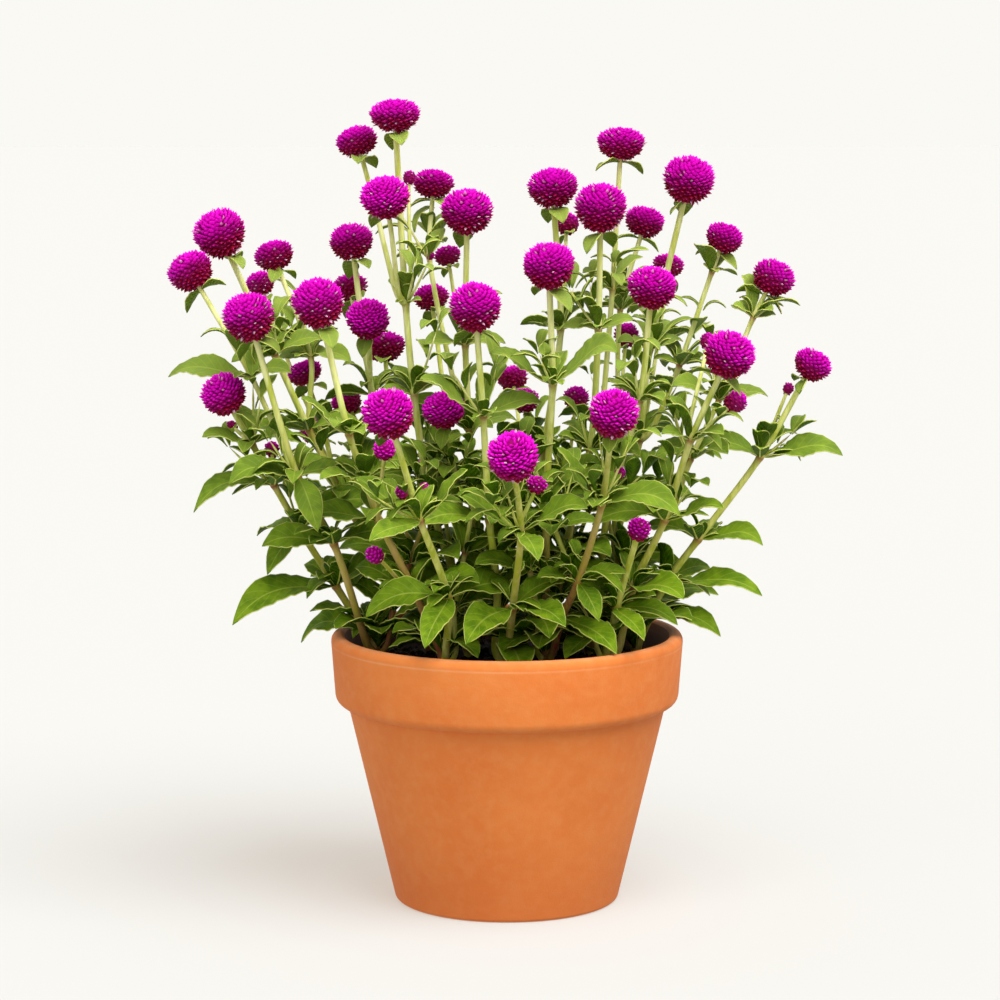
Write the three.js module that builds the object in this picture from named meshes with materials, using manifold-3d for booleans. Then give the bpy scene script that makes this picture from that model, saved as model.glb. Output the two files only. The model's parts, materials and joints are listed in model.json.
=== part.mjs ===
// Potted globe amaranth: magenta globe heads on leafy stems in a terracotta pot.
// Millimetres, +Z up, the front towards -Y, origin in the middle of the pot's foot.
import * as THREE from 'three';
import Module from 'manifold-3d';
import { ConvexHull } from 'three/addons/math/ConvexHull.js';
import { mergeVertices } from 'three/addons/utils/BufferGeometryUtils.js';

// Driving dimensions: pot
const POT_HEIGHT = 137.8;
const POT_RIM_RADIUS = 90;
const POT_FOOT_RADIUS = 57;
const POT_WALL = 7;
const BAND_BOTTOM = 101.5;
const BAND_BOTTOM_RADIUS = 87;
const BODY_TOP_RADIUS = 81;
const DRAIN_RADIUS = 10;
const POT_FLOOR = 8.5;
const INNER_RIM_RADIUS = POT_RIM_RADIUS - POT_WALL;
const INNER_BAND_RADIUS = BODY_TOP_RADIUS - POT_WALL + 0.4;
const INNER_FLOOR_RADIUS = POT_FOOT_RADIUS - 6;
const FOOT_ROUNDING = 2.2;
const BAND_EDGE_IN = 3;
const BAND_EDGE_UP = 3.5;
const LIP_HEIGHT = 5;
const LIP_NARROWING = 0.4;
const LIP_TOP_IN = 4;
const POT_SIDES = 32;

// Driving dimensions: soil
const SOIL_TOP = 122;
const SOIL_GAP = 0.3;
const SOIL_RELIEF = 1.6;
const SOIL_MOUND_WIDTHS = [9, 11];
const SOIL_RINGS_AT = [0.7, 0.35];
const STEM_HOLE_GAP = 0.35;

// Driving dimensions: stems
const BURIED_LENGTH = 18;
const FOOT_HEIGHT = 4;
const FOOT_RADIUS = 2.4;
const MAIN_RADII = [2.0, 1.5];
const SIDE_RADII = [1.45, 1.25];
const YOUNG_RADII = [1.15, 0.95];
const LEAFY_RADII = [1.4, 1.1];
const JOINT_SWELLING = 1.2;
const JOINT_HALF_HEIGHT = 1.2;
const ELBOW_OUT = 0.9;
const ELBOW_UP = 3;
const BRACT_BELOW_TOP = 2;

// Driving dimensions: leaves and bracts
const RIB_THICKNESS = 1.2;
const LEAF_FOLD = 0.3;
const LEAF_WAVE = 0.055;
const LEAF_SLENDERNESS = 0.44;
const LEAF_RISE = 0.16;
const LEAF_LENGTH_LOW = 46;
const LEAF_LENGTH_HIGH = 17;
const LEAFY_FROM = 150;
const LEAFY_TO = 320;
const SMALL_PAIR = 0.62;
const PAIRS_TO = 310;
const SMALL_PAIRS_TO = 320;
const LARGE_LEAF = 33;
const LEAF_FULLNESS = 1.1;
const LEAF_TILT = 36;
const ROLLED_BY = 0.45;
const TILT_SPREAD = 10;
const READ_TILT_SPREAD = 12;
const BACK_FROM = 34;
const LARGE_LEAF_STOPS = [0.17, 0.45, 0.74];
const SMALL_LEAF_STOPS = [0.26, 0.64];
const BRACT_STOPS = [0.45];
const BRACT_LENGTH = 0.63;
const BRACT_WIDTH = 0.31;
const BRACT_RISE = 0.14;
const BRACT_LIFT = -20;
const BRACT_LENGTHS = [0.9, 1.1];
const PAIR_LENGTHS = [0.85, 1.12];
const PAIR_LIFTS = [-10, 16];
const LARGE_PAIR_LIFT = 2;
const SMALL_PAIR_LIFT = 12;

// Driving dimensions: young shoots, which carry leaves alone
const YOUNG_SHOOTS = 2;
const YOUNG_TRIALS = 24;
const YOUNG_JOINTS = 3;
const YOUNG_SPACING = [21, 29];
const YOUNG_LEAN = [3, 26];
const YOUNG_TURN = 50;
const YOUNG_REACH = 76;
const YOUNG_TIP = 7;
const YOUNG_CLEAR = 1.1;

// Driving dimensions: heads and buds
const HEAD_SEAT = 0.9;
const HEAD_GAP = 0.3;
const VALLEY_DEPTH = 0.2;
const FLORETS_LARGE = 20;
const FLORETS_SMALL = 13;
const SMALL_HEAD_WIDTH = 17;
const BUD_HEIGHT = 1.2;
// Level of a bud's rings above its foot, as a share of its height, and their width, as a share of its own
const BUD_RINGS = [[-0.22, 0.86], [0.1, 0.9], [0.36, 0.5]];
const FIRST_FLORET = 0.985;
const LAST_FLORET = -0.8;

// Room kept round what grows, and how a leaf without room is turned, lifted and made smaller
const UNTESTED_STALK = 5.4;
const SAMPLE_SPACING = 3.4;
const SAMPLE_COLUMN = 6;
const SHOOT_SAMPLE_SPACING = 3;
const POT_ROOM_IN = 4;
const POT_ROOM_OUT = 3;
const SOIL_ROOM = 4;
const LIP_ROOM = 3;
const SHOOT_ROOM = 0.4;
const TOP_ROOM = 0.5;
const HEAD_ROOM = 1.07;
const BLADE_REACH = 1.8;
const OWN_ROOM = 1.5;
const FOREIGN_ROOM = 1.8;
const TURNS = [0, 15, -15, 30, -30];
const LIFTS = [0, 12, -12, 24];
const SHRINKS = [1, 0.78, 0.6];

// The eye of the front view, which the places below are read from
const EYE_DISTANCE = 1700;
const EYE_HEIGHT = 430.7;

// How much farther apart the shoots stand front to back than in the places below
const DEPTH_SPREAD = 1.22;

// Seeds of the draws, each added to its stem's own
const FIRST_SEED = 101;
const SEED_STEP = 7;
const TURN_SEED = 50;
const YOUNG_SEED = 76;
const PAIR_SEED = 3;
const BRACT_SEED = 500;
const WAVE_SEED = 17;
const WAVE_SEED_STEP = 131;

// Each leafy stem with its shoots. A place is [x, y, z]: x and z as the front view shows them on the middle
// plane, and y the depth before it is spread, less than 0 towards the viewer. A shoot runs from its first
// place through its joints to a head [x, y, z, width, height] or a bud [x, y, z, width]. A leaf is read as
// [joint, tip x, tip y, tip z, width, rise of its arch].
const LEAFY_STEMS = [
  {
    name: 'leafy_stem_left',
    shoots: [
      {
        path: [
          [-66, 0, 126], [-72, 0, 137], [-87, 0, 161], [-105, -5, 190], [-118, -10, 213], [-129, -14, 234],
        ],
        head: [-143, -20, 259, 23, 21],
        leaves: [
          [1, -105, 14, 132, 15, 12],
          [2, -140, -22, 141, 19, 13],
          [3, -122, -16, 167, 12, 4],
          [3, -127, 14, 187, 12, 5],
          [4, -159, -14, 199, 15, 12],
        ],
      },
      {
        path: [[-66, 0, 126], [-88, -22, 183], [-106, -30, 217]],
        head: [-130, -40, 298, 26, 25],
        leaves: [[2, -141, -38, 213, 15, 10], [2, -96, -44, 189, 13, 3]],
      },
      {
        path: [[-106, -30, 217], [-129, -18, 268]],
        head: [-159, -10, 321, 23, 20],
        leaves: [[1, -171, 2, 268, 15, 8]],
      },
      { path: [[-118, -10, 213]], bud: [-119, 4, 231, 8] },
      { path: [[-129, -14, 234]], bud: [-139, 4, 243, 6] },
    ],
  },
  {
    name: 'leafy_stem_left_back',
    shoots: [
      {
        path: [[-40, 24, 126], [-61, 18, 166], [-82, 12, 205], [-100, 10, 241], [-117, 8, 279]],
        head: [-144, 5, 340, 26, 25],
      },
      { path: [[-100, 10, 241], [-99, 15, 278]], head: [-117, 28, 329, 20, 15] },
      { path: [[-82, 12, 205], [-92, 30, 238]], head: [-102, 32, 270, 18, 13] },
      { path: [[-92, 30, 238], [-112, 48, 280]], head: [-124, 54, 315, 15, 13] },
      { path: [[-61, 18, 166], [-80, 44, 205]], head: [-98, 50, 241, 15, 14] },
      {
        path: [[-40, 24, 126], [-46, 30, 165], [-54, 36, 205], [-68, 40, 259]],
        head: [-78, 45, 336, 22, 19],
      },
      { path: [[-68, 40, 259]], head: [-70, 18, 297, 22, 19] },
      { path: [[-68, 40, 259]], head: [-79, 66, 313, 18, 13] },
      { path: [[-54, 36, 205]], head: [-62, 64, 283, 22, 14] },
      { path: [[-54, 36, 205]], head: [-81, 56, 255, 16, 14] },
    ],
  },
  {
    name: 'leafy_stem_left_front',
    shoots: [
      {
        path: [[-32, -26, 126], [-47, -28, 158], [-65, -30, 195], [-72, -35, 216], [-80, -40, 239]],
        head: [-95, -45, 305, 26, 26],
        leaves: [[4, -104, -48, 257, 12, 4], [3, -95, -58, 216, 12, 4]],
      },
      {
        path: [[-32, -26, 126], [-30, -45, 155], [-44, -65, 195]],
        head: [-60, -85, 249, 26, 26],
        leaves: [
          [1, -72, -48, 145, 17, 9],
          [1, -42, -76, 129, 15, 5],
          [2, -77, -58, 217, 14, 2],
          [2, -20, -74, 221, 13, 3],
          [2, -70, -94, 184, 12, 4],
        ],
      },
      { path: [[-65, -30, 195]], head: [-62, -56, 231, 12, 11] },
      { path: [[-47, -28, 158]], head: [-67, -52, 177, 9, 12] },
      { path: [[-44, -65, 195]], bud: [-42, -58, 211, 6] },
    ],
  },
  {
    name: 'leafy_stem_middle_left',
    shoots: [
      {
        path: [[-20, 14, 126], [-27, 10, 166], [-39, 5, 205], [-47, 3, 259], [-51, 0, 305]],
        head: [-56, 0, 399, 25, 17],
      },
      { path: [[-51, 0, 305]], head: [-75, 15, 386, 21, 15.5] },
      { path: [[-51, 0, 305]], head: [-61, -20, 358, 25, 20.5] },
      { path: [[-51, 0, 305]], bud: [-49, 14, 368, 7] },
      {
        path: [[-20, 14, 126], [-17, 14, 180], [-19, 14, 241], [-21, 8, 284]],
        head: [-20, 0, 351, 26, 23],
      },
      { path: [[-19, 14, 241], [-39, 34, 328]], head: [-37, 38, 365, 21, 15] },
      { path: [[-17, 14, 180], [-26, 28, 216]], head: [-38, 60, 308, 18, 13] },
      { path: [[-17, 14, 180], [-26, 0, 216]], head: [-32, -12, 251, 22, 18] },
      { path: [[-21, 8, 284]], head: [-30, 20, 329, 14, 10] },
    ],
  },
  {
    name: 'leafy_stem_front',
    shoots: [
      {
        path: [[0, -20, 126], [3, -40, 150], [7, -66, 189]],
        head: [3, -91, 227, 26, 25],
        leaves: [
          [1, -21, -74, 131, 19, 7],
          [1, 30, -66, 140, 15, 6],
          [2, -26, -72, 208, 15, 5],
          [2, 41, -76, 201, 15, 7],
          [2, 16, -86, 174, 12, 4],
        ],
      },
      { path: [[7, -66, 189]], head: [15, -72, 213, 11, 9] },
      {
        path: [[0, -20, 126], [-5, -22, 160], [-9, -24, 195], [-12, -35, 248]],
        head: [-16, -45, 303, 26, 25],
        leaves: [[3, -44, -44, 267, 14, 6]],
      },
    ],
  },
  {
    name: 'leafy_stem_middle',
    shoots: [
      {
        path: [[20, -14, 126], [20, -16, 165], [20, -20, 209], [23, -32, 264]],
        head: [21, -40, 324, 26, 24],
        leaves: [[3, -9, -40, 280, 13, 6], [3, 56, -38, 280, 15, 12]],
      },
      {
        path: [[20, -14, 126], [28, -28, 145], [36, -42, 163], [48, -60, 203]],
        head: [54, -80, 249, 25, 25],
        leaves: [
          [1, 56, -58, 126, 16, 6],
          [2, 47, -56, 143, 11, 3],
          [3, 25, -64, 232, 13, 4],
          [3, 88, -66, 197, 15, 10],
        ],
      },
      { path: [[48, -60, 203]], bud: [57, -52, 219, 6] },
    ],
  },
  {
    name: 'leafy_stem_middle_back',
    shoots: [
      {
        path: [[16, 30, 126], [17, 30, 178], [19, 30, 231], [27, 28, 292]],
        head: [23, 25, 363, 25, 20.5],
      },
      { path: [[17, 30, 178], [30, 50, 215]], head: [35, 62, 257, 13.5, 13] },
      { path: [[17, 30, 178], [10, 58, 215]], head: [3, 93, 267, 15.5, 12] },
      { path: [[10, 58, 215]], head: [9, 48, 256, 15, 12] },
      { path: [[27, 28, 292]], head: [30, 58, 345, 13, 11] },
      {
        path: [[16, 30, 126], [28, 20, 175], [42, 6, 231], [46, 0, 292]],
        head: [47, -5, 353, 26, 25],
      },
      { path: [[42, 6, 231], [53, 12, 312]], head: [57, 15, 385, 24, 17] },
    ],
  },
  {
    name: 'leafy_stem_right_back',
    shoots: [
      {
        path: [[42, 18, 126], [47, 4, 165], [52, -12, 205], [67, -28, 256]],
        head: [73, -35, 313, 25, 21.5],
      },
      {
        path: [[42, 18, 126], [52, 22, 168], [60, 26, 205], [67, 24, 236], [72, 16, 282]],
        head: [91, 5, 367, 26, 24],
      },
      { path: [[52, 22, 168], [56, 36, 240], [57, 38, 302]], head: [69, 42, 346, 20, 16] },
      { path: [[56, 36, 240]], head: [60, 56, 289, 13, 13] },
      { path: [[67, 24, 236], [76, 48, 285]], head: [81, 60, 324, 16, 12] },
      { path: [[67, 24, 236], [87, 20, 274], [103, 20, 321]], head: [109, 20, 338, 19, 15.5] },
    ],
  },
  {
    name: 'leafy_stem_right_front',
    shoots: [
      {
        path: [[50, -16, 126], [56, -28, 150]],
        head: [67, -46, 190, 12.5, 12],
        leaves: [[1, 87, -36, 141, 13, 6], [1, 70, -62, 133, 11, 5]],
      },
      {
        path: [[50, -16, 126], [64, -22, 160], [80, -30, 195], [93, -40, 236]],
        head: [112, -50, 279, 26, 24],
        leaves: [[2, 110, -44, 201, 12, 6]],
      },
      { path: [[93, -40, 236]], head: [115, -28, 255, 12, 13] },
      { path: [[93, -40, 236]], bud: [101, -20, 286, 8] },
      {
        path: [[80, -30, 195], [93, -12, 226], [107, -10, 256], [124, -6, 298]],
        head: [134, -5, 318, 21.5, 18.5],
      },
    ],
  },
  {
    name: 'leafy_stem_right',
    shoots: [
      {
        path: [[66, 4, 126], [73, 2, 146], [81, 0, 163], [97, -3, 185], [128, -6, 227]],
        head: [154, -10, 274, 19.5, 16],
        leaves: [
          [1, 109, -12, 135, 14, 8],
          [2, 130, -16, 156, 14, 9],
          [3, 130, -10, 182, 13, 9],
          [4, 170, -8, 228, 14, 9],
        ],
      },
      { path: [[128, -6, 227]], bud: [142, 3, 262, 6] },
    ],
  },
];

const UP = new THREE.Vector3(0, 0, 1);
const CORNERS = [0, 1, 2, 3];
// Corner of a square section that has the area of a round one of radius 1
const CORNER = Math.sqrt(Math.PI / 2);
const GOLDEN_ANGLE = Math.PI * (3 - Math.sqrt(5));

const wasm = await Module();
wasm.setup();

// What is read at the front view's scale, at its true size for its depth
function trueSize(size, y) {
  return size * (1 + (y * DEPTH_SPREAD) / EYE_DISTANCE);
}

// Where a place read on the front view's middle plane lies at its true depth
function place([x, y, z]) {
  return new THREE.Vector3(trueSize(x, y), y * DEPTH_SPREAD, EYE_HEIGHT + trueSize(z - EYE_HEIGHT, y));
}

function seededRandom(seed) {
  let state = seed;
  return () => {
    state = (state * 1664525 + 1013904223) % 4294967296;
    return state / 4294967296;
  };
}

function mix(from, to, share) {
  return from + (to - from) * share;
}

function samePlace(one, other) {
  return one.every((value, k) => value === other[k]);
}

function headingOf(degrees) {
  const angle = THREE.MathUtils.degToRad(degrees);
  return new THREE.Vector3(Math.cos(angle), Math.sin(angle), 0);
}

// A direction turned square to an axis
function squareTo(axis, direction) {
  return direction.clone().addScaledVector(axis, -direction.dot(axis)).normalize();
}

function azimuthOf(direction) {
  return THREE.MathUtils.radToDeg(Math.atan2(direction.y, direction.x));
}

// How far two azimuths are apart, at most 180 degrees
function turnBetween(one, other) {
  const turn = Math.abs(one - other) % 360;
  return Math.min(turn, 360 - turn);
}

// Blades: the leaves and bracts, each an arch from root to tip

// The middle line leaves the stem halfway between square to it and the way of a plain arch, and ends as the
// arch does
function makeBlade({ root, tip, outward, width, rise, roll, seed }) {
  const crest = root.clone().lerp(tip, 0.5).addScaledVector(UP, 2 * rise);
  const rising = crest.clone().sub(root).multiplyScalar(2 / 3);
  const first = outward.clone().add(rising.clone().normalize()).normalize();
  const near = root.clone().addScaledVector(first, rising.length());
  const far = tip.clone().lerp(crest, 2 / 3);
  const line = new THREE.CubicBezierCurve3(root, near, far, tip);
  return { line, root, tip, width, roll, seed, length: root.distanceTo(tip) };
}

// Half width at a share of the length: a narrow stalk, widest past the middle, a pointed tip
function halfWidth(width, share) {
  return 0.5 * width * Math.sin(Math.PI * share ** LEAF_FULLNESS);
}

function bladeFrame(blade, share) {
  const along = blade.line.getTangent(share);
  const level = UP.clone().cross(along).normalize();
  const raised = along.clone().cross(level);
  const roll = blade.roll * Math.min(1, share / ROLLED_BY);
  const side = level.multiplyScalar(Math.cos(roll)).addScaledVector(raised, Math.sin(roll));
  return { middle: blade.line.getPoint(share), side, normal: along.clone().cross(side) };
}

// Points spread over a blade, which stand for it when room is looked for
function bladeSamples(blade) {
  const samples = [];
  const rows = Math.max(3, Math.round(blade.length / SAMPLE_SPACING));
  const columns = Math.max(1, Math.round(blade.width / SAMPLE_COLUMN));
  const from = Math.min(0.5, UNTESTED_STALK / blade.length);
  for (let row = 0; row <= rows; row += 1) {
    const share = mix(from, 0.99, row / rows);
    const { middle, side, normal } = bladeFrame(blade, share);
    const half = halfWidth(blade.width, share);
    for (let column = -columns; column <= columns; column += 1) {
      const out = (half * column) / columns;
      const lift = Math.abs(out) * LEAF_FOLD;
      samples.push(middle.clone().addScaledVector(side, out).addScaledVector(normal, lift));
    }
  }
  return samples;
}

// Growth: where every shoot, joint, leaf and bract lies

const taken = [];

function takeRoom(point, reach, owner) {
  taken.push({ point, reach, owner });
}

// Inside the wall of the pot or its soil, or closer to them than a leaf should lie
function meetsPot(point) {
  const out = Math.hypot(point.x, point.y);
  if (out < INNER_RIM_RADIUS - POT_ROOM_IN) {
    return point.z < SOIL_TOP + SOIL_ROOM;
  }
  return out < POT_RIM_RADIUS + POT_ROOM_OUT && point.z < POT_HEIGHT + LIP_ROOM;
}

// In the flattened globe of a head, or just outside it
function meetsHead({ centre, axis, width, height }, point) {
  const from = point.clone().sub(centre);
  const level = from.dot(axis);
  const out = from.addScaledVector(axis, -level).length();
  return Math.hypot(out / (0.5 * width), level / (0.5 * height)) < HEAD_ROOM;
}

// Roll that turns a leaf's upper face out of the plant, towards its front or its back
function rollOf(heading, root, jitter) {
  const facing = root.y < BACK_FROM ? 1 : -1;
  return THREE.MathUtils.degToRad(LEAF_TILT * facing * heading.x + jitter);
}

function hasRoom(blade, owner, ownHead) {
  const samples = bladeSamples(blade);
  if (samples.some((sample) => meetsPot(sample) || (ownHead && meetsHead(ownHead, sample)))) {
    return false;
  }
  const middle = blade.line.getPoint(0.5);
  const span = blade.length * 0.75;
  return taken.every(({ point, reach, owner: other }) => {
    if (other === ownHead) {
      return true;
    }
    const room = reach + (other === owner ? OWN_ROOM : FOREIGN_ROOM);
    if (point.distanceTo(middle) > span + room) {
      return true;
    }
    return samples.every((sample) => sample.distanceToSquared(point) > room * room);
  });
}

function keepBlade(blade, owner) {
  bladeSamples(blade).forEach((sample) => takeRoom(sample, BLADE_REACH, owner));
  return { blade };
}

// The first of the turned, lifted and smaller places where the blade has room, if there is one
function findBlade({ root, along, azimuth, lift, length, width, rise, seed, owner, ownHead = null }) {
  const outward = squareTo(along, headingOf(azimuth));
  const axis = ownHead ? along : UP;
  for (const shrink of SHRINKS) {
    for (const raised of LIFTS) {
      for (const turn of TURNS) {
        const climb = THREE.MathUtils.degToRad(lift + raised);
        const heading = squareTo(axis, headingOf(azimuth + turn));
        const tip = root
          .clone()
          .addScaledVector(heading, length * shrink * Math.cos(climb))
          .addScaledVector(axis, length * shrink * Math.sin(climb));
        const jitter = ((seed * 37) % (2 * TILT_SPREAD)) - TILT_SPREAD;
        const roll = rollOf(ownHead ? axis : heading, root, jitter);
        const size = { width: width * shrink, rise: rise * shrink };
        const blade = makeBlade({ root, tip, outward, ...size, roll, seed });
        if (hasRoom(blade, owner, ownHead)) {
          return blade;
        }
      }
    }
  }
  return null;
}

function makeJoint(read, radius) {
  return { read, point: place(read), radius, azimuth: 0, facets: [null, null, null, null], children: [] };
}

function radiiOf(entry, isMain) {
  if (isMain) {
    return MAIN_RADII;
  }
  const isYoung = entry.bud || entry.head[3] < SMALL_HEAD_WIDTH;
  return isYoung ? YOUNG_RADII : SIDE_RADII;
}

// A shoot with its own joints and the seat of its head or bud. The first shoot of a stem stands in the soil;
// every other one starts at the joint of an earlier shoot.
function startShoot(stem, entry) {
  const first = stem.shoots[0];
  const joints = stem.shoots.flatMap((shoot) => shoot.joints);
  const parent = joints.find((joint) => samePlace(joint.read, entry.path[0])) ?? null;
  const isMain = !first || samePlace(first.entry.path[0], entry.path[0]);
  const [low, high] = radiiOf(entry, isMain);
  const [x, y, z, readWidth, readHeight] = entry.head ?? [...entry.bud, entry.bud[3] * BUD_HEIGHT];
  const centre = place([x, y, z]);
  const [width, height] = [trueSize(readWidth, y), trueSize(readHeight, y)];
  const axis = centre.clone().sub(place(entry.path.at(-1))).normalize();
  const below = 0.5 * height * (entry.head ? HEAD_SEAT : 1) + (entry.head ? HEAD_GAP : 0);
  const top = centre.clone().addScaledVector(axis, -below);
  const own = entry.path.slice(parent ? 1 : 0);
  const shoot = { entry, parent, isMain, centre, width, height, axis, top, low, high };
  shoot.joints = own.map((read, k) => makeJoint(read, mix(low, high, k / (own.length + 1))));
  shoot.line = [...entry.path.map(place), top];
  shoot.bracts = [];
  if (parent) {
    parent.children.push(shoot);
  } else {
    shoot.joints[0].radius = FOOT_RADIUS;
    shoot.joints[0].point.z = SOIL_TOP + FOOT_HEIGHT;
    shoot.line[0] = shoot.joints[0].point;
  }
  return shoot;
}

// The stem's direction at one of a shoot's own joints
function alongAt(shoot, k) {
  const index = k + (shoot.parent ? 1 : 0);
  if (index === 0) {
    return UP.clone();
  }
  return shoot.line[index + 1].clone().sub(shoot.line[index - 1]).normalize();
}

// Leaves that were read and shoots each take the nearest of the joint's four faces. The first leaf sets the
// turn of the faces; without one a shoot does, which leaves the first opposite pair of faces to leaves.
function takeFacets(shoot, k, start) {
  const joint = shoot.joints[k];
  const along = alongAt(shoot, k);
  const row = k + (shoot.parent ? 1 : 0);
  const leaves = (shoot.entry.leaves ?? [])
    .filter(([read]) => read === row)
    .map(([, x, y, z, width, rise]) => ({ tip: place([x, y, z]), width, rise }));
  const shoots = joint.children.map((child) => ({ shoot: child }));
  const items = [...leaves, ...shoots].map((item) => {
    const end = item.tip ?? item.shoot.line[1];
    return { ...item, azimuth: azimuthOf(end.clone().sub(joint.point)) };
  });
  joint.azimuth = start + 90 * row;
  if (items.length > 0) {
    joint.azimuth = items[0].azimuth - (leaves.length > 0 ? 0 : 90);
  }
  items.forEach((item, index) => {
    const free = CORNERS.filter((facet) => !joint.facets[facet]);
    const gap = (facet) => turnBetween(item.azimuth, joint.azimuth + 90 * facet);
    const facet = free.reduce((best, next) => (gap(next) < gap(best) - 1e-6 ? next : best));
    if (item.shoot) {
      joint.facets[facet] = item;
      bendOut(item.shoot, joint, facet, along);
      return;
    }
    const outward = squareTo(along, headingOf(joint.azimuth + 90 * facet));
    const heading = headingOf(azimuthOf(item.tip.clone().sub(joint.point)));
    const jitter = ((row * 53 + index * 31) % (2 * READ_TILT_SPREAD)) - READ_TILT_SPREAD;
    const roll = rollOf(heading, joint.point, jitter);
    const seed = row * 10 + index;
    joint.facets[facet] = { blade: makeBlade({ root: joint.point, outward, roll, seed, ...item }) };
  });
}

// A side shoot leaves its joint sideways and then turns up
function bendOut(shoot, joint, facet, along) {
  const heading = headingOf(joint.azimuth + 90 * facet);
  const out = CORNER * (joint.radius * JOINT_SWELLING + shoot.low) + ELBOW_OUT;
  shoot.azimuth = joint.azimuth + 90 * facet;
  shoot.elbow = joint.point.clone().addScaledVector(heading, out).addScaledVector(along, ELBOW_UP);
  shoot.line[0] = shoot.elbow;
}

// Young shoots from the free faces of a stem's foot, each the first of its trials that has room
function addYoungShoots(stem) {
  const random = seededRandom(stem.seed + YOUNG_SEED);
  const foot = stem.shoots[0].joints[0];
  const free = CORNERS.filter((facet) => !foot.facets[facet]).slice(0, YOUNG_SHOOTS);
  free.forEach((facet) => {
    const trials = Array.from({ length: YOUNG_TRIALS }, () => makeYoungShoot(foot, facet, random));
    const shoot = trials.find((trial) => hasShootRoom(trial));
    if (shoot) {
      stem.shoots.push(shoot);
      foot.facets[facet] = { shoot };
      foot.children.push(shoot);
      takeShootRoom(shoot, stem.name);
    }
  });
}

function makeYoungShoot(foot, facet, random) {
  const azimuth = foot.azimuth + 90 * facet;
  const lean = THREE.MathUtils.degToRad(mix(...YOUNG_LEAN, random()));
  const heading = headingOf(azimuth + mix(-YOUNG_TURN, YOUNG_TURN, random()));
  const axis = UP.clone().multiplyScalar(Math.cos(lean)).addScaledVector(heading, Math.sin(lean));
  const [low, high] = LEAFY_RADII;
  let reach = 0;
  const joints = Array.from({ length: YOUNG_JOINTS }, (_, k) => {
    reach += mix(...YOUNG_SPACING, random());
    const point = foot.point.clone().addScaledVector(axis, reach);
    const radius = mix(low, high, k / (YOUNG_JOINTS + 1));
    return { point, radius, azimuth: 0, facets: [null, null, null, null], children: [] };
  });
  const top = foot.point.clone().addScaledVector(axis, reach + YOUNG_TIP);
  const line = [foot.point, ...joints.map((joint) => joint.point), top];
  const shoot = { entry: {}, parent: foot, isMain: false, joints, line, bracts: [], axis, top, low, high };
  Object.assign(shoot, { centre: top, width: 0, height: 0 });
  bendOut(shoot, foot, facet, UP);
  const start = 90 * random();
  joints.forEach((joint, k) => {
    joint.azimuth = start + 90 * k;
  });
  return shoot;
}

// Clear of all that grows there, past the first places by its own foot, and inside the pot's rim
function hasShootRoom({ line, low, joints }) {
  if (joints.some(({ point }) => Math.hypot(point.x, point.y) > YOUNG_REACH)) {
    return false;
  }
  const places = [];
  for (let k = 0; k + 1 < line.length; k += 1) {
    const steps = Math.ceil(line[k].distanceTo(line[k + 1]) / SHOOT_SAMPLE_SPACING);
    for (let step = k === 0 ? 2 : 0; step <= steps; step += 1) {
      places.push(line[k].clone().lerp(line[k + 1], step / steps));
    }
  }
  const ownReach = CORNER * low * JOINT_SWELLING + YOUNG_CLEAR;
  const isClear = ({ point, reach }) => places.every((spot) => spot.distanceTo(point) > reach + ownReach);
  return taken.every(isClear);
}

function takeShootRoom(shoot, owner) {
  const { line } = shoot;
  for (let k = 0; k + 1 < line.length; k += 1) {
    const steps = Math.ceil(line[k].distanceTo(line[k + 1]) / SHOOT_SAMPLE_SPACING);
    for (let step = 0; step <= steps; step += 1) {
      const spot = line[k].clone().lerp(line[k + 1], step / steps);
      takeRoom(spot, CORNER * shoot.low + SHOOT_ROOM, owner);
    }
  }
  const isHead = Boolean(shoot.entry.head);
  takeRoom(shoot.centre, 0.5 * Math.max(shoot.width, shoot.height) + TOP_ROOM, isHead ? shoot : owner);
}

// Two leafy bracts under each head, spread just below it and bent down
function addBracts(stem) {
  const random = seededRandom(stem.seed);
  stem.shoots.forEach((shoot) => {
    shoot.bractAzimuth = 360 * random();
    [0, 180].forEach((turn, k) => {
      const length = shoot.width * BRACT_LENGTH * mix(...BRACT_LENGTHS, random());
      if (!shoot.entry.head) {
        return;
      }
      const blade = findBlade({
        root: shoot.top.clone().addScaledVector(shoot.axis, -0.6 * BRACT_BELOW_TOP),
        along: shoot.axis,
        azimuth: shoot.bractAzimuth + turn,
        lift: BRACT_LIFT,
        length,
        width: shoot.width * BRACT_WIDTH,
        rise: length * BRACT_RISE,
        seed: BRACT_SEED + k,
        owner: stem.name,
        ownHead: shoot,
      });
      shoot.bracts.push(blade ? keepBlade(blade, stem.name) : null);
    });
  });
}

// Leaf length falls with the height of its joint
function leafLength(height) {
  const share = THREE.MathUtils.clamp((height - LEAFY_FROM) / (LEAFY_TO - LEAFY_FROM), 0, 1);
  return mix(LEAF_LENGTH_LOW, LEAF_LENGTH_HIGH, share);
}

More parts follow.
